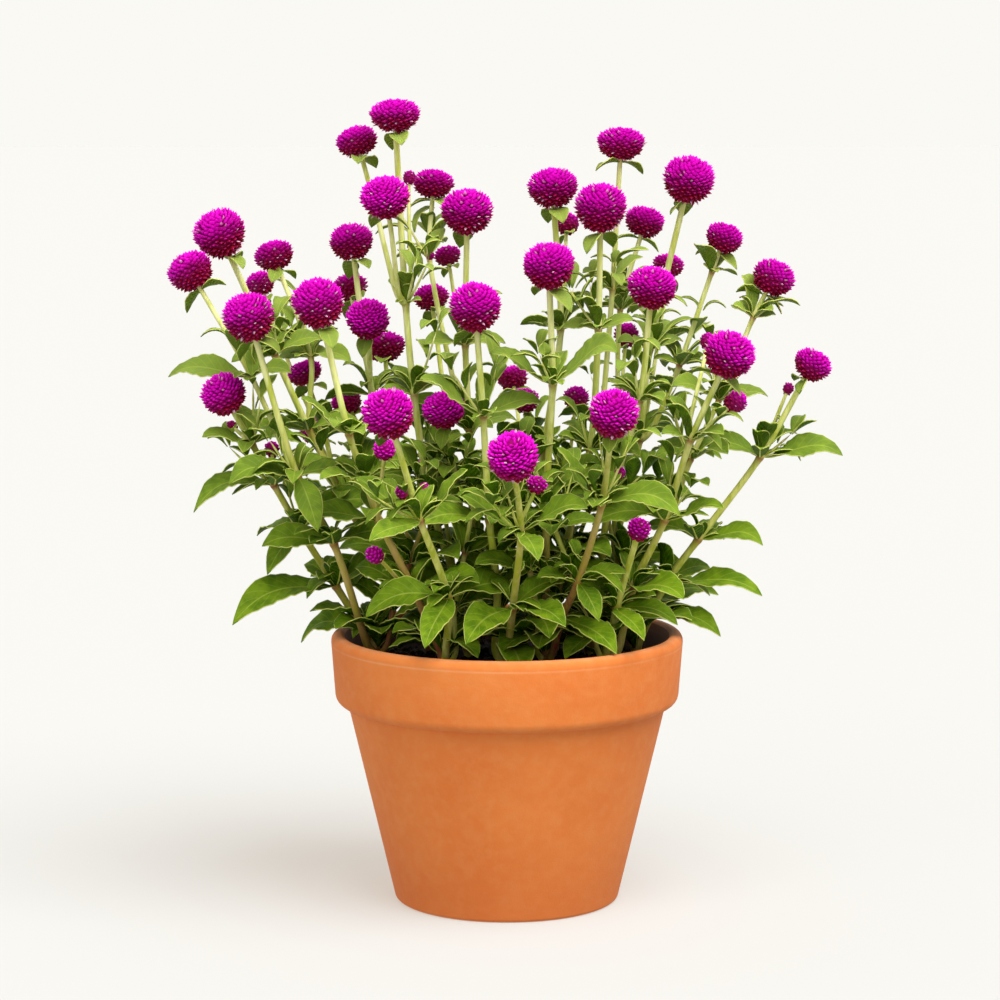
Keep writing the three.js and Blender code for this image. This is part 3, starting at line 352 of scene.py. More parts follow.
# The shoots of each leafy stem. A place is [x, y, z]: x and z as the front view shows them on the middle
# plane, and y the depth before it is spread, less than 0 towards the viewer. A shoot runs from its first
# place through its joints to a head [x, y, z, width, height] or a bud [x, y, z, width]. A leaf that shows
# well is [joint, tip x, tip y, tip z, width, rise of its arch].
LEAFY_STEMS = {
    "left": [
        dict(
            path=[
                [-66, 0, 126], [-72, 0, 137], [-87, 0, 161], [-105, -5, 190], [-118, -10, 213],
                [-129, -14, 234],
            ],
            head=[-143, -20, 259, 23, 21],
            leaves=[
                [1, -105, 14, 132, 15, 12], [2, -140, -22, 141, 19, 13], [3, -122, -16, 167, 12, 4],
                [3, -127, 14, 187, 12, 5], [4, -159, -14, 199, 15, 12],
            ],
        ),
        dict(
            path=[[-66, 0, 126], [-88, -22, 183], [-106, -30, 217]],
            head=[-130, -40, 298, 26, 25],
            leaves=[[2, -141, -38, 213, 15, 10], [2, -96, -44, 189, 13, 3]],
        ),
        dict(
            path=[[-106, -30, 217], [-129, -18, 268]],
            head=[-159, -10, 321, 23, 20],
            leaves=[[1, -171, 2, 268, 15, 8]],
        ),
        dict(path=[[-118, -10, 213]], bud=[-119, 4, 231, 8]),
        dict(path=[[-129, -14, 234]], bud=[-139, 4, 243, 6]),
    ],
    "left_back": [
        dict(
            path=[[-40, 24, 126], [-61, 18, 166], [-82, 12, 205], [-100, 10, 241], [-117, 8, 279]],
            head=[-144, 5, 340, 26, 25],
        ),
        dict(path=[[-100, 10, 241], [-99, 15, 278]], head=[-117, 28, 329, 20, 15]),
        dict(path=[[-82, 12, 205], [-92, 30, 238]], head=[-102, 32, 270, 18, 13]),
        dict(path=[[-92, 30, 238], [-112, 48, 280]], head=[-124, 54, 315, 15, 13]),
        dict(path=[[-61, 18, 166], [-80, 44, 205]], head=[-98, 50, 241, 15, 14]),
        dict(
            path=[[-40, 24, 126], [-46, 30, 165], [-54, 36, 205], [-68, 40, 259]],
            head=[-78, 45, 336, 22, 19],
        ),
        dict(path=[[-68, 40, 259]], head=[-70, 18, 297, 22, 19]),
        dict(path=[[-68, 40, 259]], head=[-79, 66, 313, 18, 13]),
        dict(path=[[-54, 36, 205]], head=[-62, 64, 283, 22, 14]),
        dict(path=[[-54, 36, 205]], head=[-81, 56, 255, 16, 14]),
    ],
    "left_front": [
        dict(
            path=[[-32, -26, 126], [-47, -28, 158], [-65, -30, 195], [-72, -35, 216], [-80, -40, 239]],
            head=[-95, -45, 305, 26, 26],
            leaves=[[4, -104, -48, 257, 12, 4], [3, -95, -58, 216, 12, 4]],
        ),
        dict(
            path=[[-32, -26, 126], [-30, -45, 155], [-44, -65, 195]],
            head=[-60, -85, 249, 26, 26],
            leaves=[
                [1, -72, -48, 145, 17, 9], [1, -42, -76, 129, 15, 5], [2, -77, -58, 217, 14, 2],
                [2, -20, -74, 221, 13, 3], [2, -70, -94, 184, 12, 4],
            ],
        ),
        dict(path=[[-65, -30, 195]], head=[-62, -56, 231, 12, 11]),
        dict(path=[[-47, -28, 158]], head=[-67, -52, 177, 9, 12]),
        dict(path=[[-44, -65, 195]], bud=[-42, -58, 211, 6]),
    ],
    "middle_left": [
        dict(
            path=[[-20, 14, 126], [-27, 10, 166], [-39, 5, 205], [-47, 3, 259], [-51, 0, 305]],
            head=[-56, 0, 399, 25, 17],
        ),
        dict(path=[[-51, 0, 305]], head=[-75, 15, 386, 21, 15.5]),
        dict(path=[[-51, 0, 305]], head=[-61, -20, 358, 25, 20.5]),
        dict(path=[[-51, 0, 305]], bud=[-49, 14, 368, 7]),
        dict(
            path=[[-20, 14, 126], [-17, 14, 180], [-19, 14, 241], [-21, 8, 284]],
            head=[-20, 0, 351, 26, 23],
        ),
        dict(path=[[-19, 14, 241], [-39, 34, 328]], head=[-37, 38, 365, 21, 15]),
        dict(path=[[-17, 14, 180], [-26, 28, 216]], head=[-38, 60, 308, 18, 13]),
        dict(path=[[-17, 14, 180], [-26, 0, 216]], head=[-32, -12, 251, 22, 18]),
        dict(path=[[-21, 8, 284]], head=[-30, 20, 329, 14, 10]),
    ],
    "front": [
        dict(
            path=[[0, -20, 126], [3, -40, 150], [7, -66, 189]],
            head=[3, -91, 227, 26, 25],
            leaves=[
                [1, -21, -74, 131, 19, 7], [1, 30, -66, 140, 15, 6], [2, -26, -72, 208, 15, 5],
                [2, 41, -76, 201, 15, 7], [2, 16, -86, 174, 12, 4],
            ],
        ),
        dict(path=[[7, -66, 189]], head=[15, -72, 213, 11, 9]),
        dict(
            path=[[0, -20, 126], [-5, -22, 160], [-9, -24, 195], [-12, -35, 248]],
            head=[-16, -45, 303, 26, 25],
            leaves=[[3, -44, -44, 267, 14, 6]],
        ),
    ],
    "middle": [
        dict(
            path=[[20, -14, 126], [20, -16, 165], [20, -20, 209], [23, -32, 264]],
            head=[21, -40, 324, 26, 24],
            leaves=[[3, -9, -40, 280, 13, 6], [3, 56, -38, 280, 15, 12]],
        ),
        dict(
            path=[[20, -14, 126], [28, -28, 145], [36, -42, 163], [48, -60, 203]],
            head=[54, -80, 249, 25, 25],
            leaves=[
                [1, 56, -58, 126, 16, 6], [2, 47, -56, 143, 11, 3], [3, 25, -64, 232, 13, 4],
                [3, 88, -66, 197, 15, 10],
            ],
        ),
        dict(path=[[48, -60, 203]], bud=[57, -52, 219, 6]),
    ],
    "middle_back": [
        dict(
            path=[[16, 30, 126], [17, 30, 178], [19, 30, 231], [27, 28, 292]],
            head=[23, 25, 363, 25, 20.5],
        ),
        dict(path=[[17, 30, 178], [30, 50, 215]], head=[35, 62, 257, 13.5, 13]),
        dict(path=[[17, 30, 178], [10, 58, 215]], head=[3, 93, 267, 15.5, 12]),
        dict(path=[[10, 58, 215]], head=[9, 48, 256, 15, 12]),
        dict(path=[[27, 28, 292]], head=[30, 58, 345, 13, 11]),
        dict(path=[[16, 30, 126], [28, 20, 175], [42, 6, 231], [46, 0, 292]], head=[47, -5, 353, 26, 25]),
        dict(path=[[42, 6, 231], [53, 12, 312]], head=[57, 15, 385, 24, 17]),
    ],
    "right_back": [
        dict(
            path=[[42, 18, 126], [47, 4, 165], [52, -12, 205], [67, -28, 256]],
            head=[73, -35, 313, 25, 21.5],
        ),
        dict(
            path=[[42, 18, 126], [52, 22, 168], [60, 26, 205], [67, 24, 236], [72, 16, 282]],
            head=[91, 5, 367, 26, 24],
        ),
        dict(path=[[52, 22, 168], [56, 36, 240], [57, 38, 302]], head=[69, 42, 346, 20, 16]),
        dict(path=[[56, 36, 240]], head=[60, 56, 289, 13, 13]),
        dict(path=[[67, 24, 236], [76, 48, 285]], head=[81, 60, 324, 16, 12]),
        dict(path=[[67, 24, 236], [87, 20, 274], [103, 20, 321]], head=[109, 20, 338, 19, 15.5]),
    ],
    "right_front": [
        dict(
            path=[[50, -16, 126], [56, -28, 150]],
            head=[67, -46, 190, 12.5, 12],
            leaves=[[1, 87, -36, 141, 13, 6], [1, 70, -62, 133, 11, 5]],
        ),
        dict(
            path=[[50, -16, 126], [64, -22, 160], [80, -30, 195], [93, -40, 236]],
            head=[112, -50, 279, 26, 24],
            leaves=[[2, 110, -44, 201, 12, 6]],
        ),
        dict(path=[[93, -40, 236]], head=[115, -28, 255, 12, 13]),
        dict(path=[[93, -40, 236]], bud=[101, -20, 286, 8]),
        dict(
            path=[[80, -30, 195], [93, -12, 226], [107, -10, 256], [124, -6, 298]],
            head=[134, -5, 318, 21.5, 18.5],
        ),
    ],
    "right": [
        dict(
            path=[[66, 4, 126], [73, 2, 146], [81, 0, 163], [97, -3, 185], [128, -6, 227]],
            head=[154, -10, 274, 19.5, 16],
            leaves=[
                [1, 109, -12, 135, 14, 8], [2, 130, -16, 156, 14, 9], [3, 130, -10, 182, 13, 9],
                [4, 170, -8, 228, 14, 9],
            ],
        ),
        dict(path=[[128, -6, 227]], bud=[142, 3, 262, 6]),
    ],
}


# Growth: where every shoot, joint, leaf and bract lies


def true_size(size, y):
    """What is read at the front view's scale, at its true size for its depth."""
    return size * (1 + (y * DEPTH_SPREAD) / EYE_DISTANCE)


def place(read):
    """Where a place read on the front view's middle plane lies at its true depth."""
    x, y, z = read
    return np.array([true_size(x, y), y * DEPTH_SPREAD, EYE_HEIGHT + true_size(z - EYE_HEIGHT, y)])


def seeded_random(seed):
    state = seed

    def draw():
        nonlocal state
        state = (state * 1664525 + 1013904223) % 4294967296
        return state / 4294967296

    return draw


def mix(low, high, share):
    return low + (high - low) * share


def unit(v):
    return v / np.sqrt((v * v).sum(axis=-1, keepdims=True))


def length_of(v):
    return math.sqrt(v.dot(v))


def curve(corners, t):
    """A place on the curve of four corners."""
    a, b, c, d = corners
    s = 1 - t
    return s**3 * a + 3 * s * s * t * b + 3 * s * t * t * c + t**3 * d


def places_between(low, high):
    """Places on a straight line, a step or less apart."""
    steps = math.ceil(length_of(high - low) / ROOM_STEP)
    return mix(low, high, np.arange(steps + 1)[:, None] / steps)


def heading_of(degrees):
    angle = math.radians(degrees)
    return np.array([math.cos(angle), math.sin(angle), 0.0])


def square_to(axis, direction):
    """A direction turned square to an axis."""
    return unit(direction - axis * direction.dot(axis))


def azimuth_of(direction):
    return math.degrees(math.atan2(direction[1], direction[0]))


def turn_between(one, other):
    """How far two azimuths are apart, at most 180 degrees."""
    turn = abs(one - other) % 360
    return min(turn, 360 - turn)


class Blade:
    """A leaf or bract: an arch from root to tip that leaves the stem halfway between square to it and the way
    of a plain arch."""

    def __init__(self, root, tip, outward, width, rise, roll, seed):
        crest = mix(root, tip, 0.5) + UP * 2 * rise
        rising = (crest - root) * (2 / 3)
        first = unit(outward + unit(rising))
        near = root + first * length_of(rising)
        self.line = (root, near, mix(tip, crest, 2 / 3), tip)
        self.root = root
        self.tip = tip
        self.width = width
        self.roll = roll
        self.seed = seed
        self.length = length_of(tip - root)

    def frames(self, shares):
        """Middle, side and normal at each share of the length."""
        t = shares[:, None]
        k = 1 - t
        a, b, c, d = self.line
        along = unit(k * k * (b - a) + 2 * k * t * (c - b) + t * t * (d - c))
        level = unit(np.cross(UP, along))
        raised = np.cross(along, level)
        roll = self.roll * np.minimum(1, t / ROLLED_BY)
        side = level * np.cos(roll) + raised * np.sin(roll)
        return curve(self.line, t), side, np.cross(along, side)


def half_width(width, shares):
    """Half width at a share of the length: a narrow stalk, widest past the middle, a pointed tip."""
    return 0.5 * width * np.sin(math.pi * shares**LEAF_FULLNESS)


def blade_samples(blade):
    """Points spread over a blade, which stand for it when room is looked for."""
    rows = max(3, math.floor(blade.length / SAMPLE_LENGTH + 0.5))
    columns = max(1, math.floor(blade.width / SAMPLE_WIDTH + 0.5))
    start = min(0.5, UNTESTED_STALK / blade.length)
    shares = mix(start, LAST_SAMPLE, np.arange(rows + 1) / rows)
    middle, side, normal = blade.frames(shares)
    out = half_width(blade.width, shares)[:, None] * np.arange(-columns, columns + 1) / columns
    spread = side[:, None] * out[..., None] + normal[:, None] * np.abs(out)[..., None] * LEAF_FOLD
    return (middle[:, None] + spread).reshape(-1, 3)


class Room:
    """Everything that has taken room so far, each point with its reach and its owner."""

    def __init__(self, most):
        self.points = np.zeros((most, 3))
        self.reaches = np.zeros(most)
        self.owners = np.zeros(most, int)
        self.count = 0

    def take(self, points, reach, owner):
        end = self.count + len(points)
        self.points[self.count : end] = points
        self.reaches[self.count : end] = reach
        self.owners[self.count : end] = owner
        self.count = end

    def look_round(self, root, span, owner, own_head):
        """The points that a blade from this root could meet, and how far from each it stays."""
        points = self.points[: self.count]
        owners = self.owners[: self.count]
        room = self.reaches[: self.count] + np.where(owners == owner, OWN_ROOM, FOREIGN_ROOM)
        gap = points - root
        near = ((gap * gap).sum(axis=1) <= (span + room) ** 2) & (owners != own_head)
        return points[near], room[near]


def is_clear(samples, points, clearance):
    """None of the samples is closer to a point than that point's clearance."""
    middle = (samples.min(axis=0) + samples.max(axis=0)) / 2
    reach = math.sqrt(((samples - middle) ** 2).sum(axis=1).max())
    gap = points - middle
    near = np.einsum("ij,ij->i", gap, gap) <= (reach + clearance) ** 2
    gaps = samples[:, None] - points[near]
    return bool((np.einsum("ijk,ijk->ij", gaps, gaps) > clearance[near] ** 2).all())


room = Room(MOST_POINTS)


def meets_pot(points):
    """Inside the wall of the pot or its soil, or closer to them than a leaf should lie."""
    out = np.hypot(points[:, 0], points[:, 1])
    inside = out < POT_RIM_RADIUS - POT_WALL - SOIL_CLEAR
    over_wall = (out < POT_RIM_RADIUS + POT_CLEAR) & (points[:, 2] < POT_HEIGHT + POT_CLEAR)
    return np.where(inside, points[:, 2] < SOIL_TOP + SOIL_CLEAR, over_wall)


def meets_head(shoot, points):
    """In the flattened globe of a head, or just outside it."""
    gap = points - shoot.centre
    level = gap @ shoot.axis
    out = gap - level[:, None] * shoot.axis
    far = np.sqrt((out * out).sum(axis=1)) / (0.5 * shoot.width)
    return np.hypot(far, level / (0.5 * shoot.height)) < HEAD_ROOM


def roll_of(heading, root, jitter):
    """Roll that turns a leaf's upper face out of the plant, towards its front or its back."""
    facing = 1 if root[1] < BACK_FROM else -1
    return math.radians(LEAF_TILT * facing * heading[0] + jitter)


def has_room(blade, points, clearance, own_head):
    samples = blade_samples(blade)
    if meets_pot(samples).any():
        return False
    if own_head and meets_head(own_head, samples).any():
        return False
    return is_clear(samples, points, clearance)


def keep_blade(blade, owner):
    room.take(blade_samples(blade), BLADE_REACH, owner)
    return blade


def find_blade(root, along, azimuth, lift, length, width, rise, seed, owner, own_head=None):
    """The first of the turned, lifted and smaller places where the blade has room, if there is one."""
    outward = square_to(along, heading_of(azimuth))
    axis = along if own_head else UP
    jitter = ((seed * 37) % 20) - 10
    own_mark = own_head.mark if own_head else -1
    points, clearance = room.look_round(root, LOOK_ROUND * length, owner, own_mark)
    for shrink in SHRINKS:
        for raised in LIFTS:
            for turn in TURNS:
                climb = math.radians(lift + raised)
                heading = square_to(axis, heading_of(azimuth + turn))
                reach = length * shrink
                tip = root + heading * (reach * math.cos(climb)) + axis * (reach * math.sin(climb))
                roll = roll_of(axis if own_head else heading, root, jitter)
                blade = Blade(root, tip, outward, width * shrink, rise * shrink, roll, seed)
                if has_room(blade, points, clearance, own_head):
                    return blade
    return None


class Joint:
    """A joint of a shoot with four faces, each of which can carry a leaf or a side shoot. The place where it
    was read tells which shoots start there."""

    def __init__(self, read, point, radius, azimuth=0):
        self.read = read
        self.point = point
        self.radius = radius
        self.azimuth = azimuth
        self.facets = [None, None, None, None]
        self.children = []


class Shoot:
    """A shoot with its own joints and the seat of its head or bud. The first shoot of a stem stands in the
    soil; every other one starts at the joint of an earlier shoot."""

    entry = {}
    has_head = False
    width = 0
    height = 0

    def __init__(self, stem, entry):
        self.entry = entry
        path = entry["path"]
        joints = [joint for shoot in stem.shoots for joint in shoot.joints]
        self.parent = next((joint for joint in joints if joint.read == path[0]), None)
        self.is_main = not stem.shoots or stem.shoots[0].entry["path"][0] == path[0]
        self.has_head = "head" in entry
        if self.has_head:
            x, y, z, width, height = entry["head"]
        else:
            x, y, z, width = entry["bud"]
            height = width * BUD_HEIGHT
        self.low, self.high = self.radii(width)
        self.centre = place([x, y, z])
        self.width = true_size(width, y)
        self.height = true_size(height, y)
        self.axis = unit(self.centre - place(path[-1]))
        seat = 0.5 * self.height * (HEAD_SEAT if self.has_head else 1)
        self.top = self.centre - self.axis * (seat + (HEAD_GAP if self.has_head else 0))
        own = path[1:] if self.parent else path
        self.joints = [
            Joint(read, place(read), mix(self.low, self.high, k / (len(own) + 1)))
            for k, read in enumerate(own)
        ]
        self.line = [place(read) for read in path] + [self.top]
        self.bracts = []
        if self.parent:
            self.parent.children.append(self)
        else:
            foot = self.joints[0]
            foot.radius = FOOT_RADIUS
            foot.point[2] = SOIL_TOP + FOOT_HEIGHT
            self.line[0] = foot.point

    def radii(self, read_width):
        if self.is_main:
            return MAIN_RADII
        is_young = not self.has_head or read_width < SMALL_HEAD_WIDTH
        return YOUNG_RADII if is_young else SIDE_RADII

    def along_at(self, k):
        """The stem's direction at one of the shoot's own joints."""
        index = k + (1 if self.parent else 0)
        if index == 0:
            return UP.copy()
        return unit(self.line[index + 1] - self.line[index - 1])


def take_facets(shoot, k, start):
    """Leaves that were read, and shoots, each take the nearest of the joint's four faces. The first leaf
    sets the turn of the faces; without one a shoot does, which leaves the first opposite pair of faces to
    leaves."""
    joint = shoot.joints[k]
    along = shoot.along_at(k)
    row = k + (1 if shoot.parent else 0)
    leaves = [leaf for leaf in shoot.entry.get("leaves", []) if leaf[0] == row]
    items = [(place(leaf[1:4]), leaf, None) for leaf in leaves]
    items += [(child.line[1], None, child) for child in joint.children]
    joint.azimuth = start + 90 * row
    if items:
        joint.azimuth = azimuth_of(items[0][0] - joint.point) - (0 if leaves else 90)
    for index, (end, leaf, child) in enumerate(items):
        azimuth = azimuth_of(end - joint.point)
        facet = nearest_free(joint, azimuth)
        if child:
            joint.facets[facet] = child
            bend_out(child, joint, facet, along)
            continue
        outward = square_to(along, heading_of(joint.azimuth + 90 * facet))
        roll = roll_of(heading_of(azimuth), joint.point, ((row * 53 + index * 31) % 24) - 12)
        joint.facets[facet] = Blade(joint.point, end, outward, leaf[4], leaf[5], roll, row * 10 + index)


def nearest_free(joint, azimuth):
    free = [facet for facet in range(4) if joint.facets[facet] is None]
    best = free[0]
    for facet in free[1:]:
        gap = turn_between(azimuth, joint.azimuth + 90 * facet)
        if gap < turn_between(azimuth, joint.azimuth + 90 * best) - 1e-6:
            best = facet
    return best


def bend_out(shoot, joint, facet, along):
    """A side shoot leaves its joint sideways and then turns up."""
    out = CORNER * (joint.radius * JOINT_SWELLING + shoot.low) + ELBOW_OUT
    shoot.elbow = joint.point + heading_of(joint.azimuth + 90 * facet) * out + along * ELBOW_UP
    shoot.line[0] = shoot.elbow


class YoungShoot(Shoot):
    """A shoot from a foot that carries leaves alone."""

    def __init__(self, foot, facet, random):
        azimuth = foot.azimuth + 90 * facet
        lean = math.radians(mix(*YOUNG_LEAN, random()))
        heading = heading_of(azimuth + mix(-YOUNG_TURN, YOUNG_TURN, random()))
        self.axis = UP * math.cos(lean) + heading * math.sin(lean)
        self.low, self.high = LEAFY_RADII
        self.joints = []
        reach = 0
        for k in range(YOUNG_JOINTS):
            reach += mix(*YOUNG_SPACING, random())
            radius = mix(self.low, self.high, k / (YOUNG_JOINTS + 1))
            self.joints.append(Joint(None, foot.point + self.axis * reach, radius))
        self.top = foot.point + self.axis * (reach + YOUNG_TIP)
        self.line = [foot.point] + [joint.point for joint in self.joints] + [self.top]
        self.parent = foot
        self.centre = self.top
        self.bracts = []
        bend_out(self, foot, facet, UP)
        start = 90 * random()
        for k, joint in enumerate(self.joints):
            joint.azimuth = start + 90 * k


def has_shoot_room(shoot):
    """Clear of all that grows there, past the first places by its own foot, and inside the pot's rim."""
    if any(math.hypot(joint.point[0], joint.point[1]) > YOUNG_REACH for joint in shoot.joints):
        return False
    spans = [places_between(low, high) for low, high in zip(shoot.line, shoot.line[1:])]
    spans[0] = spans[0][UNTESTED_STEPS:]
    clearance = room.reaches[: room.count] + CORNER * shoot.low * JOINT_SWELLING + YOUNG_CLEAR
    return all(is_clear(spot[None], room.points[: room.count], clearance) for spot in np.concatenate(spans))


def add_young_shoots(stem):
    """Young shoots from the free faces of a stem's foot, each the first of its trials that has room."""
    random = seeded_random(stem.seed + YOUNG_SEED)
    foot = stem.shoots[0].joints[0]
    free = [facet for facet in range(4) if foot.facets[facet] is None][:YOUNG_SHOOTS]
    for facet in free:
        trials = [YoungShoot(foot, facet, random) for _ in range(YOUNG_TRIALS)]
        shoot = next((trial for trial in trials if has_shoot_room(trial)), None)
        if shoot:
            stem.shoots.append(shoot)
            foot.facets[facet] = shoot
            take_shoot_room(shoot, stem.mark)


def take_shoot_room(shoot, owner):
    for low, high in zip(shoot.line, shoot.line[1:]):
        room.take(places_between(low, high), CORNER * shoot.low + STEM_MARGIN, owner)
    reach = 0.5 * max(shoot.width, shoot.height) + HEAD_MARGIN
    room.take([shoot.centre], reach, shoot.mark if shoot.has_head else owner)


def add_bracts(stem):
    """Two leafy bracts under each head, spread just below it and bent down."""
    random = seeded_random(stem.seed)
    for shoot in stem.shoots:
        azimuth = 360 * random()
        for k, turn in enumerate((0, 180)):
            length = shoot.width * BRACT_LENGTH * mix(*BRACT_VARIETY, random())
            if not shoot.has_head:
                continue
            root = shoot.top - shoot.axis * BRACT_SEAT
            width = shoot.width * BRACT_WIDTH
            rise = length * BRACT_RISE
            place_round = (root, shoot.axis, azimuth + turn, BRACT_LIFT)
            blade = find_blade(*place_round, length, width, rise, BRACT_SEED + k, stem.mark, shoot)
            if blade:
                shoot.bracts.append(keep_blade(blade, stem.mark))


def leaf_length(height):
    """Leaf length falls with the height of its joint."""
    share = min(1, max(0, (height - LEAFY_FROM) / (LEAFY_TO - LEAFY_FROM)))
    return mix(LEAF_LENGTH_LOW, LEAF_LENGTH_HIGH, share)


def add_pair(stem, facets, size, highest):
    """A pair of opposite leaves on the faces of every joint that are still free, and on the lower joints a
    smaller pair between them."""
    random = seeded_random(stem.seed + facets[0] + PAIR_SEED)
    for row, shoot in enumerate(stem.shoots):
        for k, joint in enumerate(shoot.joints):
            for facet in facets:
                length = leaf_length(joint.point[2]) * size * mix(*LEAF_VARIETY, random())
                lift = mix(*LEAF_LIFT, random()) + (SMALL_PAIR_LIFT if size < 1 else PAIR_LIFT)
                is_foot = shoot.parent is None and k == 0
                if is_foot or joint.facets[facet] is not None or joint.point[2] > highest:
                    continue
                way = (joint.point, shoot.along_at(k), joint.azimuth + 90 * facet, lift)
                width = length * LEAF_SLENDERNESS
                seed = row * 20 + k * 4 + facet
                blade = find_blade(*way, length, width, length * LEAF_RISE, seed, stem.mark)
                if blade:
                    joint.facets[facet] = keep_blade(blade, stem.mark)


class Stem:
    """A leafy stem: its shoots, which grew together."""

    def __init__(self, index, place_name):
        self.place_name = place_name
        self.name = f"leafy_stem_{place_name}"
        self.mark = index
        self.seed = STEM_SEED + STEM_SEED_STEP * index
        self.shoots = []
        for entry in LEAFY_STEMS[place_name]:
            self.shoots.append(Shoot(self, entry))
        for k, shoot in enumerate(self.shoots):
            shoot.mark = 100 * (index + 1) + k

    def blades(self):
        """The leaves in the order of their joints."""
        items = [item for shoot in self.shoots for joint in shoot.joints for item in joint.facets]
        return [item for item in items if isinstance(item, Blade)]


def grow_plant():
    stems = [Stem(index, place_name) for index, place_name in enumerate(LEAFY_STEMS)]
    for stem in stems:
        random = seeded_random(stem.seed + TURN_SEED)
        for shoot in stem.shoots:
            start = 90 * random()
            for k in range(len(shoot.joints)):
                take_facets(shoot, k, start)
    for stem in stems:
        for shoot in stem.shoots:
            take_shoot_room(shoot, stem.mark)
        for blade in stem.blades():
            keep_blade(blade, stem.mark)
    for stem in stems:
        add_young_shoots(stem)
    for stem in stems:
        add_bracts(stem)
    for stem in stems:
        add_pair(stem, (0, 2), 1, PAIRS_TO)
    for stem in stems:
        add_pair(stem, (1, 3), SMALL_PAIR, SMALL_PAIRS_TO)
    return stems


# Shapes that the pieces share. Lines and radii are in millimetres here too, and every point is put into its
# mesh in metres.


def smooth_step(share):
    """A share from 0 to 1, eased at both ends."""
    share = np.clip(share, 0, 1)
    return share * share * (3 - 2 * share)


def frames_along(places):
    """Two directions square to a line at each of its places, turned as little as may be on the way."""
    ways = unit(np.gradient(places, axis=0))
    start = np.array([1.0, 0, 0]) if abs(ways[0][0]) < 0.8 else np.array([0, 1.0, 0])
    across = [square_to(ways[0], start)]
    for way in ways[1:]:
        across.append(square_to(way, across[-1]))
    across = np.array(across)
    return across, np.cross(ways, across)


def add_sheet(bm, columns, rows):
    """A flat sheet of columns by rows faces. Gives its points, and the column and row of each."""
    made = bmesh.ops.create_grid(bm, x_segments=columns, y_segments=rows, size=0.5, calc_uvs=True)
    verts = made["verts"]
    column = np.array([round((vert.co.x + 0.5) * columns) for vert in verts])
    row = np.array([round((vert.co.y + 0.5) * rows) for vert in verts])
    return verts, column, row


def put(verts, points):
    for vert, point in zip(verts, points * MM):
        vert.co = point


def add_rod(bm, places, radii, sides):
    """A sheet rolled round a line, its seam closed and both ends drawn to a point. Gives its points and the
    row of each."""
    places = np.asarray(places)
    radii = np.asarray(radii)
    across, over = frames_along(places)
    verts, column, row = add_sheet(bm, sides, len(places) - 1)
    angle = 2 * math.pi * column / sides
    out = across[row] * np.cos(angle)[:, None] + over[row] * np.sin(angle)[:, None]
    put(verts, places[row] + out * radii[row][:, None])
    return verts, row


def close_seams(bm, verts):
    bmesh.ops.remove_doubles(bm, verts=verts, dist=MERGE_DISTANCE)


def set_values(bm, verts, values, name):
    """Gives each point its value, or all of them the same one."""
    layer = bm.verts.layers.float[name]
    for vert, value in zip(verts, np.broadcast_to(values, len(verts))):
        vert[layer] = value


def new_bmesh(*value_names):
    """An empty mesh to model in, with a map for patterns and a named value for each point."""
    bm = bmesh.new()
    bm.loops.layers.uv.new("along")
    for name in value_names:
        bm.verts.layers.float.new(name)
    return bm


def object_of(bm, name, materials):
    """An object made of what was modelled, in the scene."""
    mesh = bpy.data.meshes.new(name)
    bm.to_mesh(mesh)
    bm.free()
    for material in materials:
        mesh.materials.append(material)
    made = bpy.data.objects.new(name, mesh)
    bpy.context.scene.collection.objects.link(made)
    return made


def finish_piece(bm, name, nodes, materials, smooth=True):
    """The piece as an object that stands for its CAD nodes."""
    piece = object_of(bm, name, materials)
    faces = piece.data.polygons
    faces.foreach_set("use_smooth", [smooth] * len(faces))
    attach(piece, "root")
    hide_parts(*nodes)
    return piece


# Leafy stems


def bend(start, control, end, steps):
    """A plain curve of three points."""
    t = np.linspace(0, 1, steps + 1)[:, None]
    return start * (1 - t) ** 2 + control * 2 * t * (1 - t) + end * t**2


def stem_line(shoot):
    """The shoot's middle line, closely spaced, and how far along it each joint lies."""
    places = [point.copy() for point in shoot.line]
    if shoot.parent:
        way = unit(places[1] - shoot.elbow)
        joint = shoot.parent
        reach = shoot.elbow - joint.point
        control = joint.point + reach * ELBOW_PULL - UP * ELBOW_SAG
        line = list(bend(joint.point, control, shoot.elbow + way * ELBOW_REACH, ELBOW_STEPS))
        corners = [line[-1]] + places[1:]
    else:
        foot = places[0].copy()
        foot[2] = SOIL_TOP - BURIED_LENGTH
        line = [foot]
        corners = [foot] + places
    ways = [unit(corners[1] - corners[0])]
    for before, after in zip(corners, corners[2:]):
        ways.append(unit(after - before))
    ways.append(shoot.axis)
    joint_rows = []
    for k, (low, high) in enumerate(zip(corners, corners[1:])):
        span = length_of(high - low)
        steps = max(4, math.ceil(span / STEM_STEP))
        pull = span * STEM_BEND
        near, far = low + ways[k] * pull, high - ways[k + 1] * pull
        for step in range(1, steps + 1):
            line.append(curve((low, near, far, high), smooth_spacing(step / steps)))
        joint_rows.append(len(line) - 1)
    return np.array(line), joint_rows[:-1]


def smooth_spacing(share):
    """Places lie closer together near the joints, where the stem swells."""
    return share - JOINT_PULL * math.sin(2 * math.pi * share)


